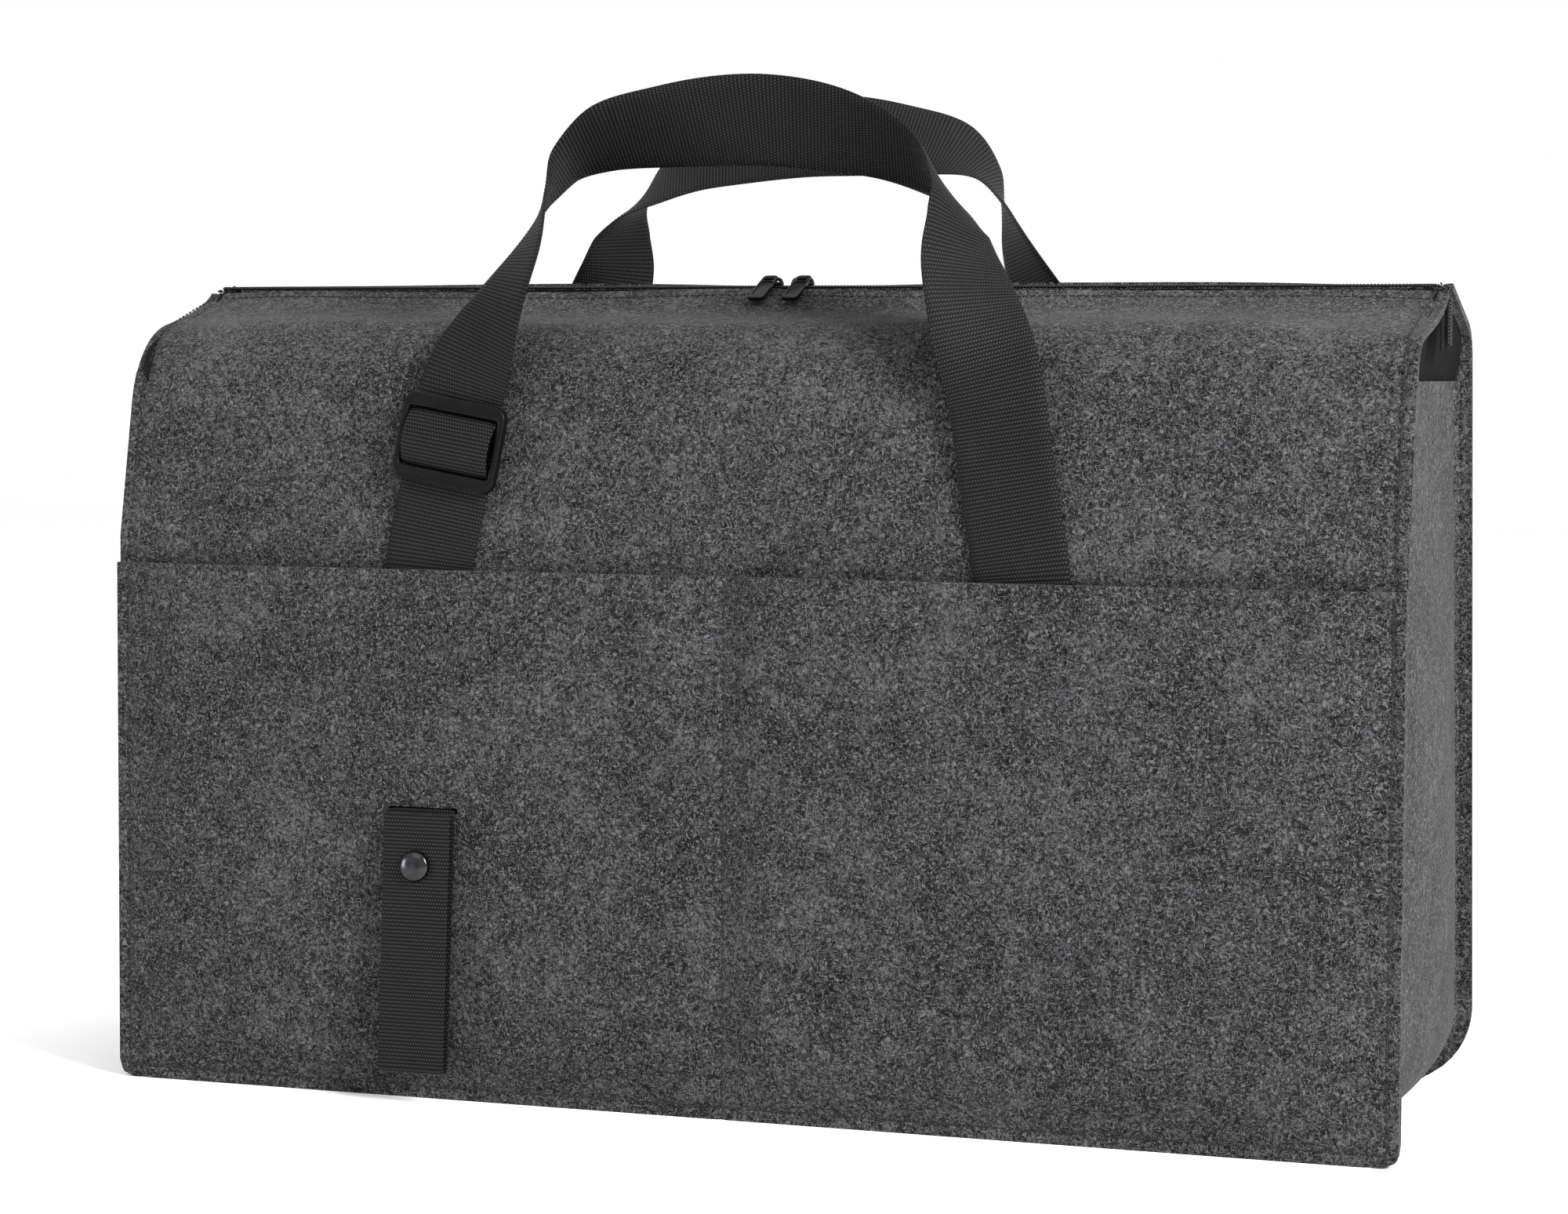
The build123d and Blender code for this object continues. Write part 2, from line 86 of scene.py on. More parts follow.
class FeltSizes(PropertyGroup):
    """Sizes of the sewn felt shell."""

    thick: FloatProperty(
        name="Felt thickness", description="Thickness of the felt",
        default=3.0 * MM, unit="LENGTH",
    )
    front_lean: FloatProperty(
        name="Front lean", description="How far the front leans back at the shoulder",
        default=16 * MM, unit="LENGTH",
    )
    back_lean: FloatProperty(
        name="Back lean", description="How far the back leans in at the shoulder",
        default=34.4 * MM, unit="LENGTH",
    )
    seam: FloatProperty(
        name="Seam allowance", description="Felt outside the side seam",
        default=7 * MM, unit="LENGTH",
    )
    bulge: FloatProperty(
        name="Side bulge", description="Outward swell of the side walls",
        default=7 * MM, unit="LENGTH",
    )
    dark: FloatVectorProperty(
        name="Dark fibre", description="Colour of the darkest fibres", subtype="COLOR",
        default=(0.0035, 0.0035, 0.0037),
    )
    light: FloatVectorProperty(
        name="Light fibre", description="Colour of the lightest fibres", subtype="COLOR",
        default=(0.066, 0.066, 0.068),
    )


class WebbingSizes(PropertyGroup):
    """Sizes of the handle and loop webbing."""

    width: FloatProperty(
        name="Handle width", description="Width of the carry webbing",
        default=40 * MM, unit="LENGTH",
    )
    thick: FloatProperty(
        name="Thickness", description="Thickness of the carry webbing",
        default=1.8 * MM, unit="LENGTH",
    )
    pitch: FloatProperty(
        name="Rib pitch", description="Distance between ribs",
        default=1.6 * MM, unit="LENGTH",
    )
    rib: FloatProperty(name="Rib height", description="Height of each rib", default=0.3 * MM, unit="LENGTH")
    colour: FloatVectorProperty(
        name="Webbing", description="Colour of the webbing yarn", subtype="COLOR",
        default=(0.0042, 0.0042, 0.0044),
    )


class ZipSizes(PropertyGroup):
    """Sizes of the zip."""

    tooth_pitch: FloatProperty(
        name="Coil pitch", description="Distance between coil turns",
        default=1.45 * MM, unit="LENGTH",
    )
    pull_length: FloatProperty(
        name="Pull length", description="Length of a pull tab",
        default=24 * MM, unit="LENGTH",
    )
    pull_width: FloatProperty(
        name="Pull width", description="Width of a pull tab",
        default=7.5 * MM, unit="LENGTH",
    )


class StudioSizes(PropertyGroup):
    """Camera and light."""

    yaw: FloatProperty(
        name="Yaw", description="Turn of the camera about the vertical",
        default=radians(19.08), subtype="ANGLE",
    )
    pitch: FloatProperty(
        name="Pitch", description="Downward tilt of the camera",
        default=radians(3.568), subtype="ANGLE",
    )
    roll: FloatProperty(
        name="Roll", description="Roll of the camera",
        default=radians(0.3), subtype="ANGLE",
    )
    lens: FloatProperty(name="Focal length", description="Focal length on a 36 mm sensor", default=85.97)
    place: FloatVectorProperty(
        name="Place", description="Where the camera stands", subtype="XYZ",
        default=(0.52206, -1.52762, 0.30681),
    )


# ---------------------------------------------------------------- materials


class Nodes:
    """Adds nodes to a material and joins them in a few words."""

    def __init__(self, name):
        self.material = bpy.data.materials.new(name)
        self.material.use_nodes = True
        self.tree = self.material.node_tree
        self.shader = self.tree.nodes["Principled BSDF"]

    def add(self, kind, settings=None, **inputs):
        made = self.tree.nodes.new(kind)
        for key, value in (settings or {}).items():
            setattr(made, key, value)
        for key, value in inputs.items():
            socket = made.inputs[int(key[1:])] if key[0] == "i" and key[1:].isdigit() else made.inputs[key]
            self.put(socket, value)
        return made

    def put(self, socket, value):
        if isinstance(value, bpy.types.NodeSocket):
            self.tree.links.new(value, socket)
        else:
            socket.default_value = value

    def math(self, operation, a, b=0.0):
        return self.add("ShaderNodeMath", {"operation": operation}, i0=a, i1=b).outputs[0]

    def noise(self, where, scale, detail=2.0, rough=0.5):
        made = self.add("ShaderNodeTexNoise", Vector=where, Scale=scale, Detail=detail, Roughness=rough)
        return made.outputs["Fac"]

    def stretched(self, where, turn, size):
        made = self.add("ShaderNodeMapping", Vector=where, Rotation=turn, Scale=size)
        return made.outputs["Vector"]

    def ramp(self, value, stops):
        made = self.add("ShaderNodeValToRGB", Fac=value)
        bar = made.color_ramp.elements
        while len(bar) < len(stops):
            bar.new(0.5)
        for spot, (place, colour) in zip(bar, stops):
            spot.position = place
            spot.color = (*colour, 1) if len(colour) == 3 else colour
        return made.outputs["Color"]

    def mix(self, factor, a, b, blend="MIX"):
        made = self.add("ShaderNodeMix", {"data_type": "RGBA", "blend_type": blend})
        self.put(made.inputs[0], factor)
        self.put(made.inputs[6], a)
        self.put(made.inputs[7], b)
        return made.outputs[2]

    def bump(self, height, distance, strength):
        made = self.add("ShaderNodeBump", Height=height, Distance=distance, Strength=strength)
        return made.outputs["Normal"]

    def finish(self, colour, roughness, normal=None, **constants):
        self.put(self.shader.inputs["Base Color"], colour)
        self.put(self.shader.inputs["Roughness"], roughness)
        if normal is not None:
            self.put(self.shader.inputs["Normal"], normal)
        for key, value in constants.items():
            self.shader.inputs[key.replace("_", " ")].default_value = value
        return self.material


FIBRE_SWIRL = 3 * MM
HAIR_LAYERS = (
    ((0.3, 0.2, 0.5), (520, 520, 3600)),
    ((1.1, 0.9, 2.0), (600, 3400, 600)),
    ((0.2, 1.3, 2.4), (3300, 560, 560)),
)


def felt_material(dark, light):
    """Needle felt: dark and pale fibres matted together, with a hairy surface."""
    n = Nodes("charcoal_felt")
    where = n.add("ShaderNodeTexCoord").outputs["Object"]
    swirl = n.add("ShaderNodeTexNoise", Vector=where, Scale=260.0, Detail=1.0).outputs["Color"]
    push = (FIBRE_SWIRL,) * 3
    moved = n.add("ShaderNodeVectorMath", {"operation": "MULTIPLY_ADD"}, i0=swirl, i1=push, i2=where)
    bent = moved.outputs[0]
    matted = n.noise(bent, 1050.0, 3.0, 0.65)
    clump = n.noise(bent, 480.0, 2.0, 0.55)
    cloud = n.noise(where, 22.0, 2.0, 0.5)
    patch = n.noise(bent, 130.0, 3.0, 0.6)
    mixed = n.math("ADD", n.math("MULTIPLY", matted, 0.42), n.math("MULTIPLY", clump, 0.33))
    mixed = n.math("ADD", mixed, n.math("MULTIPLY", patch, 0.22))
    mixed = n.math("ADD", mixed, n.math("MULTIPLY", n.math("SUBTRACT", cloud, 0.5), 0.16))
    middle = tuple(0.55 * d + 0.45 * p * 0.42 for d, p in zip(dark, light))
    base = n.ramp(mixed, [(0.42, dark), (0.5, middle), (0.62, tuple(1.05 * p for p in light))])
    hairs = None
    for turn, size in HAIR_LAYERS:
        strand = n.noise(n.stretched(bent, turn, size), 1.0, 1.0, 0.4)
        strand = n.ramp(strand, [(0.60, (0, 0, 0)), (0.68, (1, 1, 1))])
        hairs = strand if hairs is None else n.mix(1.0, hairs, strand, "LIGHTEN")
    colour = n.mix(n.math("MULTIPLY", hairs, 0.7), base, (*(1.7 * p for p in light), 1.0))
    height = n.math("ADD", mixed, n.math("MULTIPLY", hairs, 0.35))
    normal = n.bump(height, 0.5 * MM, 0.85)
    return n.finish(colour, 0.96, normal, Sheen_Weight=0.05, Sheen_Roughness=0.5, Specular_IOR_Level=0.06)


def webbing_material(name, colour, pitch, yarn=1.25 * MM):
    """Ribbed webbing: thick cross ribs bound by fine warp yarns, with painted shade in the rib valleys and
    painted highlights on the rib tops; u runs along, v across.
    """
    n = Nodes(name)
    flat = n.add("ShaderNodeUVMap").outputs[0]
    split = n.add("ShaderNodeSeparateXYZ", Vector=flat)
    along, across = split.outputs[0], split.outputs[1]
    rib_turn = n.math("MULTIPLY", along, 2 * pi / pitch)
    row = n.math("FLOOR", n.math("MULTIPLY", along, 1 / pitch))
    shift = n.math("MULTIPLY", n.math("MODULO", row, 2.0), pi)
    yarn_turn = n.math("ADD", n.math("MULTIPLY", across, 2 * pi / yarn), shift)
    rib = n.math("ABSOLUTE", n.math("SINE", n.math("MULTIPLY", rib_turn, 0.5)))
    knot = n.math("MULTIPLY", n.math("ADD", n.math("SINE", yarn_turn), 1.0), 0.5)
    weave = n.math("MULTIPLY", rib, n.math("ADD", n.math("MULTIPLY", knot, 0.6), 0.4))
    lint = n.noise(n.add("ShaderNodeTexCoord").outputs["Object"], 1500.0, 3.0, 0.6)
    dust = n.noise(n.add("ShaderNodeTexCoord").outputs["Object"], 60.0, 2.0, 0.5)
    level = n.math("ADD", n.math("MULTIPLY", weave, 0.8), n.math("MULTIPLY", lint, 0.3))
    level = n.math("ADD", level, n.math("MULTIPLY", n.math("SUBTRACT", dust, 0.5), 0.12))
    # The colour ramp follows the ribs' relief: painted shade in the rib valleys (0.12 x the yarn colour) and
    # painted highlights on the rib tops (5 x the yarn colour); the lint and dust noise is random tone.
    rib_valley_shade = tuple(0.12 * c for c in colour)
    high = tuple(5.0 * c for c in colour)
    shade = n.ramp(level, [(0.2, rib_valley_shade), (0.55, tuple(colour)), (0.9, high)])
    height = n.math("ADD", weave, n.math("MULTIPLY", lint, 0.25))
    normal = n.bump(height, 0.35 * MM, 0.8)
    rough = n.math("SUBTRACT", 0.72, n.math("MULTIPLY", weave, 0.2))
    return n.finish(shade, rough, normal, Specular_IOR_Level=0.12)


def woven_material():
    """Thin plain-weave cloth for the ends and the zip tapes, with painted light and shade on its weave."""
    n = Nodes("black_plain_weave")
    where = n.add("ShaderNodeTexCoord").outputs["Object"]
    split = n.add("ShaderNodeSeparateXYZ", Vector=where)
    warp = n.math("SINE", n.math("MULTIPLY", split.outputs[0], 2 * pi / (0.7 * MM)))
    height = n.math("ADD", split.outputs[1], split.outputs[2])
    weft = n.math("SINE", n.math("MULTIPLY", height, 2 * pi / (0.6 * MM)))
    weave = n.math("ADD", n.math("MULTIPLY", n.math("MULTIPLY", warp, weft), 0.5), 0.5)
    lint = n.noise(where, 900.0, 3.0, 0.6)
    level = n.math("ADD", n.math("MULTIPLY", weave, 0.6), n.math("MULTIPLY", lint, 0.4))
    # The colour ramp follows the weave's relief: painted highlight on the raised crossings and painted shade
    # in the hollows between threads; the lint noise mixed in is random tone.
    shade = n.ramp(level, [(0.2, (0.002, 0.002, 0.002)), (0.8, (0.011, 0.011, 0.0115))])
    normal = n.bump(level, 0.15 * MM, 0.7)
    return n.finish(shade, 0.9, normal, Specular_IOR_Level=0.04)


def thread_material():
    """Twisted sewing thread."""
    n = Nodes("black_thread")
    where = n.add("ShaderNodeTexCoord").outputs["Object"]
    twist = n.noise(where, 3200.0, 2.0, 0.5)
    shade = n.ramp(twist, [(0.3, (0.006, 0.006, 0.006)), (0.7, (0.03, 0.03, 0.031))])
    return n.finish(shade, 0.6, n.bump(twist, 0.08 * MM, 0.6), Specular_IOR_Level=0.1)


def moulded_material(name, level, rough, grain):
    """Black moulded or painted surface with fine grain, faint handling marks and worn highlights."""
    n = Nodes(name)
    where = n.add("ShaderNodeTexCoord").outputs["Object"]
    fine = n.noise(where, 2600.0, 3.0, 0.6)
    marks = n.noise(n.stretched(where, (0.4, 0.1, 0.7), (90, 900, 240)), 1.0, 3.0, 0.6)
    shade = n.ramp(marks, [(0.3, (level * 0.75,) * 3), (0.7, (level * 1.35,) * 3)])
    roughness = n.math("ADD", rough, n.math("MULTIPLY", n.math("SUBTRACT", marks, 0.5), 0.22))
    return n.finish(shade, roughness, n.bump(fine, grain, 0.5), Specular_IOR_Level=0.1)


def plated_material():
    """Dark nickel plate with faint polishing rings."""
    n = Nodes("dark_nickel_plate")
    where = n.add("ShaderNodeTexCoord").outputs["Object"]
    haze = n.noise(where, 420.0, 3.0, 0.55)
    fine = n.noise(where, 4200.0, 2.0, 0.5)
    shade = n.ramp(haze, [(0.3, (0.030, 0.030, 0.032)), (0.7, (0.052, 0.052, 0.055))])
    rough = n.math("ADD", 0.13, n.math("MULTIPLY", haze, 0.12))
    return n.finish(shade, rough, n.bump(fine, 0.02 * MM, 0.3), Metallic=1.0)


def paper_material():
    """Pale studio floor."""
    n = Nodes("studio_floor")
    where = n.add("ShaderNodeTexCoord").outputs["Object"]
    tone = n.ramp(n.noise(where, 3.0, 2.0), [(0.3, (0.97, 0.97, 0.97)), (0.7, (0.985, 0.985, 0.985))])
    return n.finish(tone, 0.7, None, Specular_IOR_Level=0.2)


LOOP_PITCH = 1.55 * MM
MATERIALS = {}


def material(name):
    """The bag's materials, made once each."""
    if name not in MATERIALS:
        scene = bpy.context.scene
        webbing = scene.bag_webbing
        makers = {
            "felt": lambda: felt_material(tuple(scene.bag_felt.dark), tuple(scene.bag_felt.light)),
            "webbing": lambda: webbing_material("black_ribbed_webbing", tuple(webbing.colour), webbing.pitch),
            "loop_webbing": lambda: webbing_material("black_loop_webbing", tuple(webbing.colour), LOOP_PITCH),
            "woven": woven_material,
            "thread": thread_material,
            "plastic": lambda: moulded_material("black_moulded_plastic", 0.003, 0.3, 0.02 * MM),
            "coil": lambda: moulded_material("black_nylon_coil", 0.009, 0.4, 0.02 * MM),
            "paint": lambda: moulded_material("black_gloss_paint", 0.004, 0.16, 0.01 * MM),
            "nickel": plated_material,
            "floor": paper_material,
        }
        MATERIALS[name] = makers[name]()
    return MATERIALS[name]


# ---------------------------------------------------------------- mesh helpers


def new_object(name, points, faces, look, flat=None):
    """A smooth mesh object of one material; flat holds a (u, v) in metres for each point."""
    mesh = bpy.data.meshes.new(name)
    mesh.from_pydata([tuple(map(float, p)) for p in points], [], [tuple(map(int, f)) for f in faces])
    if flat is not None:
        layer = mesh.uv_layers.new(name="UVMap")
        corner = np.empty(len(mesh.loops), np.int32)
        mesh.loops.foreach_get("vertex_index", corner)
        layer.data.foreach_set("uv", np.asarray(flat, np.float32)[corner].ravel())
    mesh.update()
    mesh.polygons.foreach_set("use_smooth", [True] * len(mesh.polygons))
    mesh.set_sharp_from_angle(angle=radians(42))
    made = bpy.data.objects.new(name, mesh)
    bpy.context.scene.collection.objects.link(made)
    made.data.materials.append(material(look))
    return made


def grid_normals(grid):
    """Unit normals of a grid of points, by its two directions."""
    du = np.gradient(grid, axis=0)
    dv = np.gradient(grid, axis=1)
    normal = np.cross(du, dv)
    return normal / np.maximum(np.linalg.norm(normal, axis=2, keepdims=True), 1e-12)


def thick_sheet(name, grid, thick, look, out, flat, missing=None):
    """A closed sheet of even thickness: the grid is its face on the side of out, with square cut edges."""
    rows, cols = grid.shape[:2]
    normal = grid_normals(grid)
    turned = float((normal * out).sum()) < 0
    if turned:
        normal = -normal
    face = grid.reshape(-1, 3)
    other = (grid - normal * thick).reshape(-1, 3)
    there = np.ones((rows - 1, cols - 1), bool)
    if missing is not None:
        there &= ~missing
    count = rows * cols

    def place(r, c):
        return r * cols + c

    faces = []
    for r in range(rows - 1):
        for c in range(cols - 1):
            if not there[r, c]:
                continue
            quad = (place(r, c), place(r + 1, c), place(r + 1, c + 1), place(r, c + 1))
            if turned:
                quad = quad[::-1]
            faces.append(quad)
            faces.append(tuple(v + count for v in quad[::-1]))
            sides = (
                ((r, c), (r, c + 1), r == 0 or not there[r - 1, c]),
                ((r + 1, c + 1), (r + 1, c), r == rows - 2 or not there[r + 1, c]),
                ((r + 1, c), (r, c), c == 0 or not there[r, c - 1]),
                ((r, c + 1), (r + 1, c + 1), c == cols - 2 or not there[r, c + 1]),
            )
            for a, b, bare in sides:
                if bare:
                    a, b = place(*a), place(*b)
                    wall = (a, b, b + count, a + count)
                    faces.append(wall[::-1] if turned else wall)
    return new_object(name, np.vstack([face, other]), faces, look, np.vstack([flat.reshape(-1, 2)] * 2))


def drop_loose(made):
    """Removes the points that no face uses, as in a cut-out."""
    work = bmesh.new()
    work.from_mesh(made.data)
    loose = [v for v in work.verts if not v.link_faces]
    bmesh.ops.delete(work, geom=loose, context="VERTS")
    work.to_mesh(made.data)
    work.free()


def wave(a, b, size, seed):
    """A smooth, low swell over two directions, the same every run."""
    total = 0.0
    for k in range(1, 5):
        total = total + np.sin(a * (9 + 7 * k) + b * (6 + 5 * k * (1 if k % 2 else -1)) + seed * k * 1.7) / k
    return total * size / 2.08


def distance_along(points):
    """How far along a line each of its points lies."""
    return np.concatenate([[0], np.cumsum(np.linalg.norm(np.diff(points, axis=0), axis=1))])


def sampled(spots, walk, points):
    """The points, or directions, of a line at chosen distances along it."""
    return np.array([np.interp(spots, walk, column) for column in points.T]).T


def arc(middle, radius, start, stop, count):
    """Points on an arc in X and Z with their outward directions, both ends left out."""
    path = []
    for k in range(1, count):
        angle = start + (stop - start) * k / count
        arm = (cos(angle), sin(angle))
        path.append(((middle[0] + radius * arm[0], middle[1] + radius * arm[1]), arm))
    return path


def smooth_step(value, low, high):
    """Rises from 0 to 1 between low and high, level at both ends."""
    share = np.clip((value - low) / (high - low), 0.0, 1.0)
    return share * share * (3 - 2 * share)


# ---------------------------------------------------------------- shell shape


SHOULDER_Z = 326 * MM
UPRIGHT_Z = 235 * MM
BACK_SHOULDER_Z = 332 * MM
FRONT_COUNTS = (56, 14, 16, 22)
BACK_COUNTS = (40, 30, 16, 20)
END_REACH = 70 * MM
END_FALL = 6 * MM
FRONT_CORNER = 7 * MM
BACK_CORNER = 35 * MM
STITCH_INSET = 5 * MM
STITCH_DENT = 0.9 * MM
DENT_WIDTH = 1.7 * MM
ZIP_SAG = 14 * MM
POCKET_SLACK = 5 * MM
GUSSET_BEND = 4.5 * MM
SEAM_STEPS = np.array([8.0, 6.6, 5.0, 3.4, 2.0]) * MM


def corner_path(points, radius, counts):
    """Samples along three straight runs with an arc at the last corner."""
    p0, p1, p2, p3 = [np.array(p, float) for p in points]
    before, after = p1 - p2, p3 - p2
    reach_before, reach_after = np.linalg.norm(before), np.linalg.norm(after)
    before, after = before / reach_before, after / reach_after
    half_turn = (pi - np.arccos(np.dot(before, after))) / 2
    reach = radius * tan(half_turn)
    start, stop = p2 + before * reach, p2 + after * reach
    middle = (before + after) / np.linalg.norm(before + after)
    centre = p2 + middle * radius / cos(half_turn)
    arm0, arm1 = start - centre, stop - centre
    first = atan2(arm0[1], arm0[0])
    last = atan2(arm1[1], arm1[0])
    sweep = (last - first + pi) % (2 * pi) - pi
    n0, n1, n2, n3 = counts
    path = [p0 + (p1 - p0) * k / n0 for k in range(n0)]
    path += [p1 + (start - p1) * k / n1 for k in range(n1)]
    for k in range(n2):
        angle = first + sweep * k / n2
        path.append(centre + radius * np.array([cos(angle), sin(angle)]))
    path += [stop + (p3 - stop) * k / n3 for k in range(n3 + 1)]
    return np.array(path)


def near_end(x):
    """0 along the bag's middle, rising to 1 at either end."""
    return float(smooth_step(abs(x), HALF_WIDTH - END_REACH, HALF_WIDTH))


def front_path(x):
    """(y, z) of the front panel's outer face at a place along the bag."""
    lean = bpy.context.scene.bag_felt.front_lean
    end = near_end(x)
    points = (
        (FRONT_Y, 0.0),
        (FRONT_Y, UPRIGHT_Z),
        (FRONT_Y + lean, SHOULDER_Z - END_FALL * end),
        (-ZIP_HALF_GAP, ZIP_Z - 1.6 * MM - 0.8 * MM * end),
    )
    radius = 36 + (10 * end if x < 0 else -18 * end)
    return corner_path(points, radius * MM, FRONT_COUNTS)


def back_path(x):
    """(y, z) of the back panel's outer face."""
    lean = bpy.context.scene.bag_felt.back_lean
    end = near_end(x)
    shoulder = np.array([BACK_Y - lean, BACK_SHOULDER_Z - END_FALL * end])
    foot = np.array([BACK_Y, 0.0])
    zip_edge = (ZIP_HALF_GAP, ZIP_Z + 1.2 * MM - 0.4 * MM * end)
    points = (foot, foot + (shoulder - foot) * 0.5, shoulder, zip_edge)
    return corner_path(points, (32 - 14 * end) * MM, BACK_COUNTS)


def back_face(z):
    """y of the back panel's outer face below the shoulder."""
    return BACK_Y - z * bpy.context.scene.bag_felt.back_lean / BACK_SHOULDER_Z


def corner_reach(z, radius):
    """Share of the half width that a panel with rounded lower corners reaches at a height."""
    down = np.clip(radius - z, 0, radius)
    return (HALF_WIDTH - radius + np.sqrt(radius**2 - down**2)) / HALF_WIDTH


def seam_dent(from_edge):
    """How far a stitched seam pulls the felt in, by distance from its cut edge."""
    return STITCH_DENT * np.exp(-(((from_edge - STITCH_INSET) / DENT_WIDTH) ** 2))


def edge_columns():
    """Places along the bag, closer together at the stitched edges."""
    edge = HALF_WIDTH - SEAM_STEPS
    return np.unique(np.concatenate([np.linspace(-HALF_WIDTH, HALF_WIDTH, 121), edge, -edge]))


def panel_grid(path_at, side):
    """A panel's outer face as a grid, with the soft swell of felt that only its seams hold."""
    xs = edge_columns()
    grid = np.array([[(x, y, z) for y, z in path_at(x)] for x in xs])
    normal = grid_normals(grid)
    if side * normal[:, :40, 1].sum() < 0:
        normal = -normal
    along = distance_along(grid[len(xs) // 2])
    x, s = grid[:, :, 0], np.broadcast_to(along, grid.shape[:2])
    held = smooth_step(HALF_WIDTH - np.abs(x), 0, 45 * MM) * smooth_step(grid[:, :, 2], 0, 30 * MM)
    swell = wave(x * 1.4, s * 1.8, 1.1 * MM, 1.0 + side) * held
    roof = smooth_step(grid[:, :, 2], 296 * MM, 330 * MM)
    roof = roof * smooth_step(np.abs(grid[:, :, 1]), 6 * MM, 26 * MM)
    middle = 1 - smooth_step(np.abs(x), 60 * MM, 240 * MM)
    swell = swell - (1.0 + 1.2 * middle) * MM * roof * held
    if side < 0:
        depth = (-ZIP_HALF_GAP - grid[:, :, 1]) / (60 * MM)
        near_zip = np.clip(depth, 0, 1) ** 0.75 * (1 - np.clip(depth, 0, 1)) ** 1.6
        swell = swell - ZIP_SAG * near_zip * (0.9 + 0.1 * middle) * (grid[:, :, 2] > 300 * MM)
    swell = swell - seam_dent(HALF_WIDTH - np.abs(x))
    grid = grid + normal * swell[:, :, None]
    grid[:, :, 0] *= corner_reach(grid[:, :, 2], FRONT_CORNER if side < 0 else BACK_CORNER)
    flat = np.stack([x, s], axis=2)
    return grid, flat, float(along[-1])


def make_felt_panels():
    """Front and back panels, each with its half of the roof."""
    felt = bpy.context.scene.bag_felt
    for name, path_at, side in (("front_panel", front_path, -1), ("back_panel", back_path, 1)):
        grid, flat, length = panel_grid(path_at, side)
        made = thick_sheet("felt_" + name, grid, felt.thick, "felt", np.array([0, side, 0.6]), flat)
        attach(made, "root")
        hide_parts(name)


def pocket_depth(x, z):
    """How far the pocket felt stands off its seams."""
    rise_out = smooth_step(HALF_WIDTH - abs(x), 5 * MM, 34 * MM)
    rise_mid = smooth_step(abs(x), 1.5 * MM, 20 * MM)
    rise_low = smooth_step(z, 4 * MM, 26 * MM)
    slack = POCKET_SLACK * rise_out * rise_mid * rise_low
    dent = seam_dent(HALF_WIDTH - abs(x)) + seam_dent(z) + STITCH_DENT * np.exp(-((x / DENT_WIDTH) ** 2))
    ripple = wave(x * 1.1, z * 1.5, 0.7 * MM, 5.0) * rise_out * rise_mid * rise_low
    return slack + ripple - min(dent, STITCH_DENT)


def slit_box():
    """Middle x, half width, low z and high z of the slit that the loop comes through."""
    low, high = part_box("slit_tacks")
    middle = (low[0] + high[0]) / 2
    axis_z = JOINTS["loop_swing"]["pos_m"][2]
    return middle, 16 * MM, axis_z - 0.9 * MM, axis_z + 1.3 * MM


def make_pocket():
    """The front pocket, one piece of felt sewn at its sides, foot and middle, with the loop's slit."""
    felt = bpy.context.scene.bag_felt
    middle, half, low, high = slit_box()
    near_edge = list(HALF_WIDTH - SEAM_STEPS)
    xs = [-x for x in near_edge] + list(np.linspace(-HALF_WIDTH, middle - half, 34))
    xs += list(np.linspace(middle - half, middle + half, 9))[1:]
    xs += list(np.linspace(middle + half, -2 * MM, 24))[1:] + [0.0, 2 * MM]
    xs += list(np.linspace(2 * MM, HALF_WIDTH, 62))[1:]
    xs = sorted(set(xs + near_edge))
    zs = sorted(list(np.linspace(0, low, 34)) + [2.0 * MM, 5.0 * MM, 6.6 * MM, 8.4 * MM])
    zs += [high] + list(np.linspace(high, POCKET_TOP, 28))[1:]
    sewn_y = FRONT_Y - felt.thick
    grid = np.array([[(x, sewn_y - pocket_depth(x, z), z) for z in zs] for x in xs])
    flat = grid[:, :, (0, 2)].copy()
    grid[:, :, 0] *= corner_reach(grid[:, :, 2], FRONT_CORNER)
    xs, zs = np.array(xs), np.array(zs)
    near = 1e-6
    cut_x = (middle - half - near <= xs[:-1]) & (xs[1:] <= middle + half + near)
    cut_z = (low - near <= zs[:-1]) & (zs[1:] <= high + near)
    cut = np.outer(cut_x, cut_z)
    made = thick_sheet("felt_front_pocket", grid, felt.thick, "felt", np.array([0, -1, 0]), flat, cut)
    drop_loose(made)
    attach(made, "root")
    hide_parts("front_pocket")


GUSSET_CORNER = 28 * MM


def gusset_path():
    """Points and outward directions round the bag's side, foot and side, in X and Z."""
    seam = bpy.context.scene.bag_felt.seam
    x_out, radius = HALF_WIDTH - seam, GUSSET_CORNER
    arc_x, arc_z = x_out - radius, seam + radius
    path = [((-x_out, z), (-1, 0)) for z in np.linspace(GUSSET_TOP, arc_z, 44)]
    path += arc((-arc_x, arc_z), radius, pi, 1.5 * pi, 12)
    path += [((x, seam), (0, -1)) for x in np.linspace(-arc_x, arc_x, 50)]
    path += arc((arc_x, arc_z), radius, 1.5 * pi, 2 * pi, 12)
    path += [((x_out, z), (1, 0)) for z in np.linspace(arc_z, GUSSET_TOP, 44)]
    return path


def edge_of(path, z):
    """y of a panel's face at a height, from its profile."""
    return float(np.interp(z, path[:, 1], path[:, 0]))


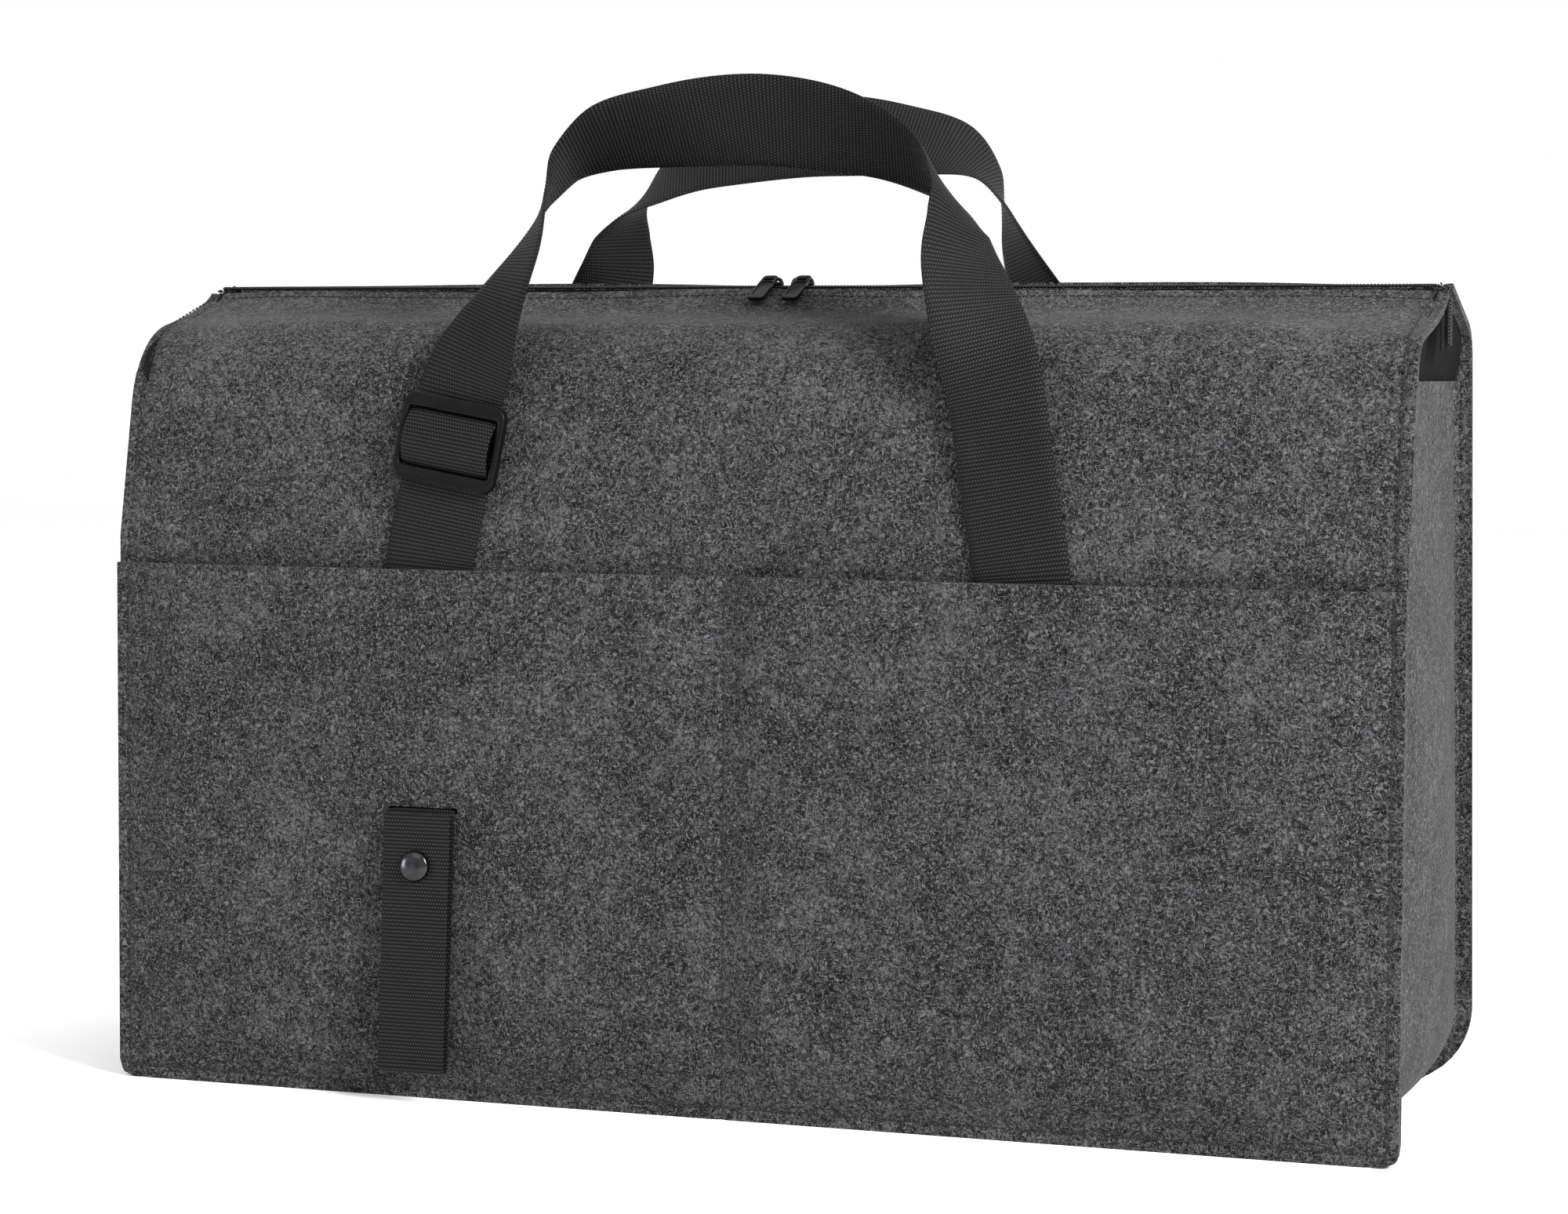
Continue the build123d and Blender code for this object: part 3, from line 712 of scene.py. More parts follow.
def make_gusset():
    """The side and base strip, its edges turned out and sewn inside the panels."""
    felt = bpy.context.scene.bag_felt
    thick, bend, reach = felt.thick, GUSSET_BEND, felt.seam
    rows, flats = [], []
    path = gusset_path()
    girths = distance_along(np.array([spot for spot, _ in path]))
    for ((x, z), (nx, nz)), girth in zip(path, girths):
        front = edge_of(front_path(x), z) + thick
        back = edge_of(back_path(x), z) - thick
        height = min(1.0, max(0.0, (z - 7 * MM) / (GUSSET_TOP - 7 * MM)))
        fullness = felt.bulge * abs(nx) * sin(pi * height**0.62)
        section = [(front, reach), (front, (reach + bend) / 2), (front, bend)]
        section += [(front + bend * (1 - cos(a)), bend * (1 - sin(a))) for a in np.linspace(0.4, pi / 2, 4)]
        spread = np.linspace(front + bend, back - bend, 24)[1:-1]
        for y in spread:
            share = (y - front) / (back - front)
            swell = fullness * sin(pi * share) ** 0.8
            sag = 3.0 * MM * sin(pi * share) * max(0.0, -nz)
            section.append((y, swell + sag + float(wave(y * 2.2, z * 1.6 + x, 0.5 * MM, 2.0))))
        section += [(back - bend * (1 - cos(a)), bend * (1 - sin(a))) for a in np.linspace(pi / 2, 0.4, 4)]
        section += [(back, bend), (back, (reach + bend) / 2), (back, reach)]
        rows.append([(x + nx * out, y, z + nz * out) for y, out in section])
        flats.append([(girth, across) for across in distance_along(np.array(section))])
    out = np.array([[(nx, 0, nz)] for _, (nx, nz) in path])
    made = thick_sheet("felt_gusset", np.array(rows), thick, "felt", out, np.array(flats))
    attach(made, "root")
    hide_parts("gusset")


TAPE_THICK = 0.6 * MM


def make_end_panels():
    """The black woven ends between the gusset and the roof, drawn slightly inward."""
    for side, name in ((-1, "left"), (1, "right")):
        low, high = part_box("end_panel_" + name)
        x = (high[0] + 0.2 * MM) if side > 0 else (low[0] - 0.2 * MM)
        front = front_path(HALF_WIDTH)
        back = back_path(HALF_WIDTH)
        roof = np.vstack([front[FRONT_COUNTS[0]:], back[::-1][: len(back) - BACK_COUNTS[0]]])
        roof = roof[np.argsort(roof[:, 0])]
        ys = np.linspace(low[1] + 0.4 * MM, high[1] - 0.4 * MM, 60)
        tops = np.interp(ys, roof[:, 0], roof[:, 1]) - 3.6 * MM
        rows = []
        for y, top in zip(ys, tops):
            base = GUSSET_TOP - 11 * MM
            column = np.linspace(base, max(top, base + 2 * MM), 24)
            row = []
            for z in column:
                share = (z - base) / max(top - base, MM)
                pinch = 2.2 * MM * sin(pi * share) * (1 - abs(2 * (y - ys[0]) / (ys[-1] - ys[0]) - 1) ** 2)
                fold = float(wave(y * 3, z * 5, 0.35 * MM, 3.0))
                row.append((x - side * (pinch + abs(fold) - 6.5 * MM * share), y, z))
            rows.append(row)
        grid = np.array(rows)
        out = np.array([side, 0, 0])
        made = thick_sheet("woven_end_" + name, grid, TAPE_THICK, "woven", out, grid[:, :, 1:])
        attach(made, "root")
        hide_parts("end_panel_" + name)
        area = float(np.sum((tops - grid[:, 0, 2]) * (ys[1] - ys[0])))
        width, tall = ys[-1] - ys[0], float(tops.max() - grid[0, 0, 2])
        area = min(area, width * tall)


# ---------------------------------------------------------------- zip


COIL_LIFT = 2.9 * MM
COIL_Y = 1.55 * MM
COIL_STITCH_Y = 3.2 * MM
TAPE_LIFT = 1.3 * MM


def zip_line():
    """(x, z) and outward direction along the zip: across the top and down both turned ends."""
    top, bend, foot = TAPE_HIGH[2], 3.0 * MM, TAPE_LOW[2] + 0.5 * MM
    end_x = TAPE_HIGH[0] - 1.0 * MM
    arc_x, arc_z = end_x - bend, top - bend
    path = [((-end_x, z), (-1, 0)) for z in np.linspace(foot, arc_z, 10)]
    path += arc((-arc_x, arc_z), bend, pi, pi / 2, 6)
    path += [((x, top), (0, 1)) for x in np.linspace(-arc_x, arc_x, 140)]
    path += arc((arc_x, arc_z), bend, pi / 2, 0, 6)
    path += [((end_x, z), (1, 0)) for z in np.linspace(arc_z, foot, 10)]
    return path


def along_line(path, step):
    """Evenly spaced places and outward directions along a path in X and Z."""
    points = np.array([p for p, _ in path])
    outs = np.array([o for _, o in path], float)
    walk = distance_along(points)
    spots = np.arange(step, walk[-1] - step, step)
    out = sampled(spots, walk, outs)
    return sampled(spots, walk, points), out / np.linalg.norm(out, axis=1, keepdims=True)


def bead(length, wide, tall, rings=4, sides=8):
    """Points and faces of one rounded bead, longest along its first axis."""
    points, faces = [(-length / 2, 0, 0)], []
    for r in range(1, rings + 1):
        angle = pi * r / (rings + 1)
        along, size = -cos(angle) * length / 2, sin(angle) ** 0.55
        for s in range(sides):
            turn = 2 * pi * s / sides
            points.append((along, wide / 2 * size * cos(turn), tall / 2 * size * sin(turn)))
    points.append((length / 2, 0, 0))
    for s in range(sides):
        t = (s + 1) % sides
        faces.append((0, 1 + t, 1 + s))
        for r in range(rings - 1):
            a, b = 1 + r * sides, 1 + (r + 1) * sides
            faces.append((a + s, a + t, b + t, b + s))
        last = 1 + (rings - 1) * sides
        faces.append((last + s, last + t, len(points) - 1))
    return np.array(points), faces


def scatter(name, shape, places, axes, look):
    """Copies of one bead at many places, each with its own three axes, as one mesh."""
    points, faces = shape
    every, all_faces = [], []
    for number, (place, turn) in enumerate(zip(places, axes)):
        every.append(points @ np.array(turn) + np.array(place))
        step = number * len(points)
        all_faces += [tuple(v + step for v in face) for face in faces]
    return new_object(name, np.vstack(every), all_faces, look)


def make_zip_tapes(path):
    """Both woven tapes, each turned down a little behind its coil."""
    across = np.array([0.9, 2.0, 3.4, 4.8, 6.0, 8.5, 11.0]) * MM
    walks = distance_along(np.array([spot for spot, _ in path]))
    outs = np.array([[(out_x, 0, out_z)] for _, (out_x, out_z) in path])
    for side, name in ((-1, "front"), (1, "back")):
        grid, flat = [], []
        for ((x, z), (out_x, out_z)), walk in zip(path, walks):
            row = []
            for y in across:
                drop = max(0.0, y - 4.5 * MM) * 0.75 + 0.25 * MM * sin(walk * 45) * (y / (6 * MM))
                row.append((x + out_x * TAPE_LIFT, side * y, z + out_z * (TAPE_LIFT - drop)))
            grid.append(row)
            flat.append([(walk, y) for y in across])
        grid, flat = np.array(grid), np.array(flat)
        made = thick_sheet("zip_tape_" + name + "_woven", grid, TAPE_THICK, "woven", outs, flat)
        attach(made, "root")
        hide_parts("zip_tape_" + name)


def make_zip_coils(path):
    """Both rows of interlocked coil and the thread that sews each down."""
    tooth = bead(2.9 * MM, 1.15 * MM, 1.5 * MM)
    pin = bead(1.5 * MM, 1.6 * MM, 1.0 * MM, rings=3, sides=6)
    place, out = along_line(path, bpy.context.scene.bag_zip.tooth_pitch)
    for side, name in ((-1, "front"), (1, "back")):
        shift = 0.0 if side < 0 else 0.5
        spots, pins, turns = [], [], []
        for k in range(len(place) - 1):
            x, z = place[k] * (1 - shift) + place[k + 1] * shift + out[k] * COIL_LIFT
            out_x, out_z = out[k]
            spots.append((x, side * COIL_Y, z))
            pins.append((x, side * COIL_STITCH_Y, z))
            turns.append(((0, side, 0), (out_z, 0, -out_x), (out_x, 0, out_z)))
        made = scatter("zip_coil_" + name, tooth, spots, turns, "coil")
        sewn = scatter("zip_coil_stitch_" + name, pin, pins, turns, "thread")
        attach(made, "root")
        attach(sewn, "root")
        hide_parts("zip_chain_" + name)


def make_zip_stops():
    """The plate that closes each end of the zip."""
    low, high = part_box("zip_stops")
    for side in (-1, 1):
        x = (high[0] if side > 0 else low[0]) - side * 1.5 * MM
        place = Matrix.Translation((x, 0, TAPE_HIGH[2] + 1.5 * MM))
        outline = rounded_outline(3.2 * MM, 6.6 * MM, 0.8 * MM)
        stop_name = "zip_stop_" + ("left" if side < 0 else "right")
        stop = plate(stop_name, outline, [], 1.4 * MM, 0.35 * MM, place, "paint")
        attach(stop, "root")
        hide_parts("zip_stops")


def make_zip():
    """The whole zip but its sliders."""
    path = zip_line()
    make_zip_tapes(path)
    make_zip_coils(path)
    make_zip_stops()


def rounded_outline(wide, tall, radius, steps=6):
    """A rounded rectangle about its middle, as a list of points."""
    points = []
    for cx, cy, start in ((1, 1, 0), (-1, 1, pi / 2), (-1, -1, pi), (1, -1, 1.5 * pi)):
        for k in range(steps + 1):
            angle = start + pi / 2 * k / steps
            x = cx * (wide / 2 - radius) + radius * cos(angle)
            points.append((x, cy * (tall / 2 - radius) + radius * sin(angle)))
    return points


def plate(name, outline, holes, thick, edge, turn, look):
    """A flat plate with rounded edges, cut by holes, standing on both sides of its plane."""
    curve = bpy.data.curves.new(name, "CURVE")
    curve.dimensions = "2D"
    curve.fill_mode = "BOTH"
    curve.extrude = thick / 2 - edge
    curve.bevel_depth = edge
    curve.bevel_resolution = 3
    curve.offset = -edge
    for points in [outline] + holes:
        line = curve.splines.new("POLY")
        line.points.add(len(points) - 1)
        for spot, (x, y) in zip(line.points, points):
            spot.co = (x, y, 0, 1)
        line.use_cyclic_u = True
    helper = bpy.data.objects.new(name, curve)
    bpy.context.scene.collection.objects.link(helper)
    bpy.context.view_layer.update()
    mesh = bpy.data.meshes.new_from_object(helper.evaluated_get(bpy.context.evaluated_depsgraph_get()))
    bpy.data.objects.remove(helper)
    mesh.transform(turn)
    mesh.name = name
    mesh.materials.clear()
    made = bpy.data.objects.new(name, mesh)
    bpy.context.scene.collection.objects.link(made)
    weld(made)
    mesh.materials.append(material(look))
    return made


def weld(made, distance=0.004 * MM):
    """Joins points that lie together, so that a converted mesh is closed."""
    work = bmesh.new()
    work.from_mesh(made.data)
    bmesh.ops.remove_doubles(work, verts=work.verts, dist=distance)
    bmesh.ops.recalc_face_normals(work, faces=work.faces)
    work.to_mesh(made.data)
    work.free()
    made.data.polygons.foreach_set("use_smooth", [True] * len(made.data.polygons))
    made.data.set_sharp_from_angle(angle=radians(50))


def tube(name, route, radius, look, sides=12):
    """A closed round bar along a list of points."""
    route = [Vector(p) for p in route]
    points, faces = [], []
    for k, spot in enumerate(route):
        ahead = route[min(k + 1, len(route) - 1)] - route[max(k - 1, 0)]
        ahead.normalize()
        side = ahead.cross(Vector((0, 1, 0)))
        side.normalize()
        up = side.cross(ahead)
        for s in range(sides):
            angle = 2 * pi * s / sides
            points.append(spot + side * radius * cos(angle) + up * radius * sin(angle))
    for k in range(len(route) - 1):
        for s in range(sides):
            t = (s + 1) % sides
            a, b = k * sides, (k + 1) * sides
            faces.append((a + s, a + t, b + t, b + s))
    faces.append(tuple(reversed(range(sides))))
    faces.append(tuple(range(len(points) - sides, len(points))))
    made = new_object(name, points, faces, look)
    weld(made)
    return made


def join(name, pieces):
    """Several pieces of one material as one object."""
    meshes = [p.data for p in pieces]
    points, faces = [], []
    for mesh in meshes:
        step = len(points)
        points += [v.co.copy() for v in mesh.vertices]
        faces += [tuple(v + step for v in f.vertices) for f in mesh.polygons]
    look = meshes[0].materials[0]
    mesh = bpy.data.meshes.new(name)
    mesh.from_pydata(points, [], faces)
    mesh.polygons.foreach_set("use_smooth", [True] * len(mesh.polygons))
    mesh.set_sharp_from_angle(angle=radians(40))
    mesh.materials.append(look)
    made = bpy.data.objects.new(name, mesh)
    bpy.context.scene.collection.objects.link(made)
    for p in pieces:
        bpy.data.objects.remove(p)
    return made


CROWN_HALF = (5.0 * MM, 3.9 * MM)
CROWN_TAPER = 0.06


def slider_outline(side):
    """A slider's plate from above, a rounded lozenge wider towards the closed zip."""
    outline = []
    for k in range(48):
        angle = 2 * pi * k / 48
        wide = 1.0 - CROWN_TAPER * cos(angle) * side
        x = CROWN_HALF[0] * np.sign(cos(angle)) * abs(cos(angle)) ** 0.7
        outline.append((x, CROWN_HALF[1] * wide * np.sign(sin(angle)) * abs(sin(angle)) ** 0.7))
    return outline


def make_sliders():
    """Both sliders and their pull tabs."""
    for name, side in (("left", -1), ("right", 1)):
        low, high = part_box("slider_" + name)
        x = (low[0] + high[0]) / 2
        bar_z = JOINTS["pull_" + name + "_swing"]["pos_m"][2]
        top_z, belly_z = TAPE_HIGH[2] + 4.3 * MM, low[2] + 0.85 * MM
        outline = slider_outline(side)
        crown = plate("crown", outline, [], 1.6 * MM, 0.6 * MM, Matrix.Translation((x, 0, top_z)), "paint")
        belly = plate("belly", outline, [], 1.5 * MM, 0.5 * MM, Matrix.Translation((x, 0, belly_z)), "paint")
        parts = [crown, belly]
        for edge in (-1, 1):
            line = [(x + t * MM, edge * 3.4 * MM, top_z - 0.9 * MM) for t in (-3.2, -1, 1, 3.2)]
            parts.append(tube("rim", line, 0.55 * MM, "paint"))
        line = [(x - side * 3.2 * MM, 0, z) for z in np.linspace(belly_z, top_z, 4)]
        parts.append(tube("post", line, 0.4 * MM, "paint", sides=8))
        foot_z = top_z + 0.3 * MM
        arch = []
        for angle in np.linspace(0, pi, 17):
            arch.append((x - 4.3 * MM * cos(angle), 0, foot_z + (bar_z - foot_z) * sin(angle) ** 0.6))
        parts.append(tube("bridge", arch, 0.8 * MM, "paint"))
        body = join("zip_slider_" + name, parts)
        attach(body, "slider_" + name)
        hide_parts("slider_" + name)
        make_pull(name)


def make_pull(name):
    """A pull tab with a raised rim, a recessed face and a ring round the slider's bridge."""
    sizes = bpy.context.scene.bag_zip
    axis = Vector(JOINTS["pull_" + name + "_swing"]["pos_m"])
    roof_run = -FRONT_Y - bpy.context.scene.bag_felt.front_lean - ZIP_HALF_GAP
    slope = atan2(ZIP_Z - SHOULDER_Z, roof_run) + radians(10)
    turn = Matrix.Translation(axis) @ Matrix.Rotation(slope, 4, "X")
    wide, tall = sizes.pull_width, sizes.pull_length
    rim = rounded_outline(wide, tall, 2.2 * MM)
    recess = rounded_outline(wide - 2.2 * MM, tall - 9.6 * MM, 1.2 * MM)
    window = rounded_outline(wide - 2.6 * MM, 4.0 * MM, 1.0 * MM)
    drop = -tall / 2 + 1.6 * MM
    rim = [(p[0] * (1 - 0.10 * (p[1] / tall + 0.5)), p[1] + drop) for p in rim]
    recess = [(p[0], p[1] + drop - 1.6 * MM) for p in recess]
    window = [(p[0] * 0.9, p[1] + drop + tall / 2 - 3.9 * MM) for p in window]
    border = plate("pull_rim", rim, [recess, window], 1.9 * MM, 0.5 * MM, turn, "paint")
    sunk = [(p[0] * 1.08, p[1]) for p in recess]
    face = plate("pull_face", sunk, [], 0.9 * MM, 0.2 * MM, turn, "paint")
    piece = join("zip_pull_" + name, [border, face])
    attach(piece, "pull_" + name)
    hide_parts("pull_" + name)


# ---------------------------------------------------------------- webbing


def spline_points(stations, steps):
    """A smooth line through the stations, as (point, edge direction) pairs, by centripetal blending."""
    points = np.array([p for p, _ in stations], float)
    edges = np.array([e for _, e in stations], float)
    knots = np.concatenate([[0], np.cumsum(np.sqrt(np.linalg.norm(np.diff(points, axis=0), axis=1)))])
    every = np.hstack([points, edges])
    gaps = np.diff(knots)[:, None]
    rates = np.diff(every, axis=0) / gaps
    inner = (rates[:-1] * gaps[1:] + rates[1:] * gaps[:-1]) / (gaps[:-1] + gaps[1:])
    slope = np.vstack([rates[:1], inner, rates[-1:]])
    out = []
    for k in range(len(every) - 1):
        h = knots[k + 1] - knots[k]
        for t in np.linspace(0, 1, steps, endpoint=False):
            a, b = 2 * t**3 - 3 * t**2 + 1, t**3 - 2 * t**2 + t
            c, d = -2 * t**3 + 3 * t**2, t**3 - t**2
            out.append(a * every[k] + b * h * slope[k] + c * every[k + 1] + d * h * slope[k + 1])
    out.append(every[-1])
    out = np.array(out)
    return out[:, :3], out[:, 3:]


def unit(vectors):
    """Directions scaled to length 1."""
    return vectors / np.linalg.norm(vectors, axis=1, keepdims=True)


def strap(name, stations, width, thick, pitch, rib, look, across=11, per_rib=4):
    """A strap of ribbed webbing along a line of stations, its ribs and selvages in the mesh."""
    line, edges = spline_points(stations, 40)
    walk = distance_along(line)
    count = int(ceil(walk[-1] / pitch)) * per_rib
    spots = np.linspace(0, walk[-1], count + 1)
    line, edges = sampled(spots, walk, line), sampled(spots, walk, edges)
    along = unit(np.gradient(line, axis=0))
    edges = unit(edges - along * np.sum(edges * along, axis=1, keepdims=True))
    face = np.cross(along, edges)
    phase = np.abs(np.sin(pi * spots / pitch))
    shares = np.linspace(-1, 1, across)
    shares = np.sign(shares) * np.abs(shares) ** 0.8
    ring = [(share, 1.0) for share in shares] + [(share, -1.0) for share in shares[::-1]]
    points, flat = [], []
    half = thick / 2
    for share, sign in ring:
        at_edge = abs(share) > 0.999
        selvage = 0.75 if abs(share) > 0.86 else 1.0
        lift = half * (0.55 if at_edge else 1.0) - rib + rib * phase * selvage * (0.4 if at_edge else 1.0)
        points.append(line + edges * (share * width / 2) + face * (sign * lift)[:, None])
        flat.append(np.stack([spots, np.full(len(spots), share * width / 2)], axis=1))
    grid = np.array(points).transpose(1, 0, 2)
    flats = np.array(flat).transpose(1, 0, 2)
    rows, cols = grid.shape[:2]
    faces = []
    for r in range(rows - 1):
        for c in range(cols):
            d = (c + 1) % cols
            faces.append((r * cols + c, r * cols + d, (r + 1) * cols + d, (r + 1) * cols + c))
    faces.append(tuple(reversed(range(cols))))
    faces.append(tuple(range((rows - 1) * cols, rows * cols)))
    made = new_object(name, grid.reshape(-1, 3), faces, look, flats.reshape(-1, 2))
    made.data.set_sharp_from_angle(angle=radians(80))
    return made


LEG_SPAN = 128.5 * MM
LEG_START = 226 * MM
STRAIGHT_END = 301.5 * MM
LEG_GAP = 1.2 * MM
SHOULDER_FALLS = (6, 14, 17, 13, 8, 3)


def edge_way(turn, droop=0.0):
    """Direction from inner to outer edge on the left leg."""
    return np.array([-cos(radians(turn)), sin(radians(turn)), -droop])


def handle_stations(root_y, start_y, straight_y, lean, sway):
    """Stations of a whole handle, from one sewn root over the top to the other."""
    leg_start, straight_end = LEG_START, STRAIGHT_END
    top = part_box("handle_front")[1][2]
    apex_z = top - 20.5 * MM
    straight_half = LEG_SPAN - (straight_end - leg_start) * tan(radians(10))
    rise = apex_z - straight_end

    def upper(half, lean_share, rise_share, turn, droop=0.0):
        place = (-half * LEG_SPAN, straight_y + lean_share * lean, straight_end + rise_share * rise)
        return place, edge_way(turn, droop)

    middle = ((-LEG_SPAN - straight_half) / 2, (start_y + straight_y) / 2, (leg_start + straight_end) / 2)
    left = [
        ((-LEG_SPAN, root_y, 172 * MM), edge_way(0)),
        ((-LEG_SPAN, root_y, 208 * MM), edge_way(0)),
        ((-LEG_SPAN, start_y, leg_start), edge_way(0)),
        (middle, edge_way(0)),
        ((-straight_half, straight_y, straight_end), edge_way(3)),
        upper(0.80, 0.13, 0.32, 34),
        upper(0.73, 0.34, 0.54, 54),
        upper(0.69, 0.50, 0.72, 74),
        upper(0.645, 0.63, 0.845, 90, 0.15),
        upper(0.54, 0.80, 0.935, 90, 0.75),
        upper(0.35, 0.93, 0.978, 90, 1.3),
    ]
    apex = ((0.0, straight_y + lean, apex_z), edge_way(90, 2.5))
    right = [((-p[0], p[1], p[2]), e * np.array([-1, 1, 1])) for p, e in reversed(left)]
    for k, fall in enumerate(SHOULDER_FALLS):
        (x, y, z), edge = right[k]
        right[k] = ((x + 0.2 * fall * MM, y, z - fall * MM), edge)
    moved = []
    for point, edge in left + [apex] + right:
        share = max(0.0, (point[2] - straight_end) / rise)
        moved.append((np.array(point) + np.array([sway * share, 0, 0]), edge))
    return moved


def make_handles():
    """Both carry handles, each one strap from sewn root to sewn root."""
    web = bpy.context.scene.bag_webbing
    leg_y = FRONT_Y - LEG_GAP - web.thick / 2
    straight_y = leg_y + (STRAIGHT_END - LEG_START) * tan(radians(4))
    path = handle_stations(FRONT_Y - web.thick / 2, leg_y, straight_y, 38 * MM, 5 * MM)
    low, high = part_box("handle_root_front_left")[0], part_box("handle_root_front_right")[1]
    shift = np.array([(low[0] + high[0]) / 2, 0, 0])
    path = [(point + shift, edge) for point, edge in path]
    made = strap("handle_front_strap", path, web.width, web.thick, web.pitch, web.rib, "webbing")
    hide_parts("handle_front", "handle_root_front_left", "handle_root_front_right")
    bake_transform(made)

    back_leg = back_face(LEG_START) + LEG_GAP + web.thick
    back_straight = back_face(STRAIGHT_END) + LEG_GAP + web.thick + 3 * MM
    path = handle_stations(0.0, -back_leg, -back_straight, 14 * MM, 5 * MM)
    low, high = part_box("handle_root_back_left")
    shift = (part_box("handle_root_back_right")[1][0] + low[0]) / 2
    turned = []
    for point, edge in path:
        x, y, z = point
        if z < 0.21:
            y = -(back_face(z) + web.thick / 2 + 0.05 * MM)
        turned.append((np.array([-x + shift, -y, z]), edge * np.array([-1, -1, 1])))
    made = strap("handle_back_strap", turned, web.width, web.thick, web.pitch, web.rib, "webbing")
    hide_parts("handle_back", "handle_root_back_left", "handle_root_back_right")
    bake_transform(made)


def make_adjusters():
    """The bights of strap over the adjusters' centre bars, and the finish of the moulded slides."""
    web = bpy.context.scene.bag_webbing
    for name in ("front", "back"):
        slide = frame["nodes"]["tri_glide_" + name]
        slide.data.materials.clear()
        slide.data.materials.append(material("plastic"))
        low, high = (Vector(v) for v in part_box("adjuster_wrap_" + name))
        middle = (low + high) / 2
        up = Vector(JOINTS["adjuster_" + name + "_slide"]["axis"]).normalized()
        across = Vector((1, 0, 0)) if name == "front" else Vector((-1, 0, 0))
        across = (across - up * across.dot(up)).normalized()
        out = across.cross(up)
        if (name == "front") == (out.y > 0):
            out = -out
        reach, depth = 12.0 * MM, 7.4 * MM
        base = middle - out * 2.3 * MM
        stations = []
        for k in range(13):
            share = k / 12
            along = -reach + 2 * reach * share
            lift = 0.9 * MM + (depth - 0.9 * MM) * sin(pi * share) ** 0.55
            stations.append((np.array(base + up * along + out * lift), np.array(across)))
        wide = web.width - 0.4 * MM
        made = strap("adjuster_bight_" + name, stations, wide, 1.6 * MM, web.pitch, web.rib, "webbing")
        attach(made, "adjuster_" + name)
        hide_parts("adjuster_wrap_" + name)


# ---------------------------------------------------------------- snap loop


LOOP_TILT = radians(4)
LOOP_OUT = Vector((0, -cos(LOOP_TILT), sin(LOOP_TILT)))
LOOP_DOWN = Vector((0, -sin(LOOP_TILT), -cos(LOOP_TILT)))
LOOP_WIDTH = 30 * MM
LOOP_THICK = 1.4 * MM
LOOP_RIB = 0.25 * MM
LEAF_STEP = 4.4 * MM


def make_loop():
    """The loop strap through the pocket's slit: back leaf, fold and front leaf, with its snap."""
    swing = Vector(JOINTS["loop_swing"]["pos_m"])
    opening = Vector(JOINTS["loop_open"]["pos_m"])
    down, out = LOOP_DOWN, LOOP_OUT
    length = (opening - out * LEAF_STEP - swing).length
    radius = LEAF_STEP / 2
    centre = swing + down * length + out * radius

    def stations(spots):
        """The webbing's edges run along X everywhere."""
        return [(np.array(spot), np.array([1.0, 0, 0])) for spot in spots]

    def fold(*angles):
        """Places round the loop's fold, counted from the back leaf."""
        return [centre - out * radius * cos(radians(a)) + down * radius * sin(radians(a)) for a in angles]

    back = [swing + Vector((0, y * MM, z * MM)) for y, z in ((4.6, 0.25), (2.2, 0.3), (0.5, -0.3))]
    back += [swing + down * t * MM for t in (2.2, 12, 40, 75, 100)]
    back += [swing + down * length] + fold(25, 50, 75, 90)
    front = fold(90, 110, 135, 160) + [opening - down * t * MM for t in (1.0, 12, 40, 70, 95)]
    front.append(opening - down * (length - 1.2 * MM))
    sizes = (LOOP_WIDTH, LOOP_THICK, LOOP_PITCH, LOOP_RIB)
    made = strap("loop_back_strap", stations(back), *sizes, "loop_webbing", across=9)
    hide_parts("loop_back_leaf", "loop_root")
    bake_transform(made)
    made = strap("loop_front_strap", stations(front), *sizes, "loop_webbing", across=9)
    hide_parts("loop_front_leaf")
    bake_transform(made)
    make_snap_dome()
    for node in ("snap_socket", "snap_stud", "snap_post"):
        piece = frame["nodes"][node]
        piece.data.materials.clear()
        piece.data.materials.append(material("nickel"))


def make_snap_dome():
    """The domed cap of the snap, spun round its own axis."""
    low, high = (Vector(v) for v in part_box("snap_cap"))
    out = LOOP_OUT
    foot = (low + high) / 2 + out * 0.4 * MM
    profile = [(6.1, -0.9), (6.5, -0.6), (6.55, -0.1), (6.3, 0.45)]
    profile += [(6.1 * cos(a), 0.6 + 1.5 * sin(a)) for a in np.linspace(0.12, pi / 2, 12)]
    turns, points, faces = 56, [], []
    side = Vector((1, 0, 0))
    up = out.cross(side)
    for r, z in profile[:-1]:
        for k in range(turns):
            angle = 2 * pi * k / turns
            points.append(foot + (side * cos(angle) + up * sin(angle)) * r * MM + out * z * MM)
    points.append(foot + out * profile[-1][1] * MM)
    rings = len(profile) - 1
    for r in range(rings - 1):
        for k in range(turns):
            t = (k + 1) % turns
            faces.append((r * turns + k, (r + 1) * turns + k, (r + 1) * turns + t, r * turns + t))
    last = (rings - 1) * turns
    faces += [(last + k, len(points) - 1, last + (k + 1) % turns) for k in range(turns)]
    faces.append(tuple(range(turns)))
    dome = new_object("snap_dome", points, faces, "nickel")
    weld(dome)
    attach(dome, "loop_front")
    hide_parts("snap_cap")


# ---------------------------------------------------------------- stitching


STITCH_PITCH = 3.3 * MM
BOX_STITCH_PITCH = 3.0 * MM
STITCH_RISE = 0.2 * MM


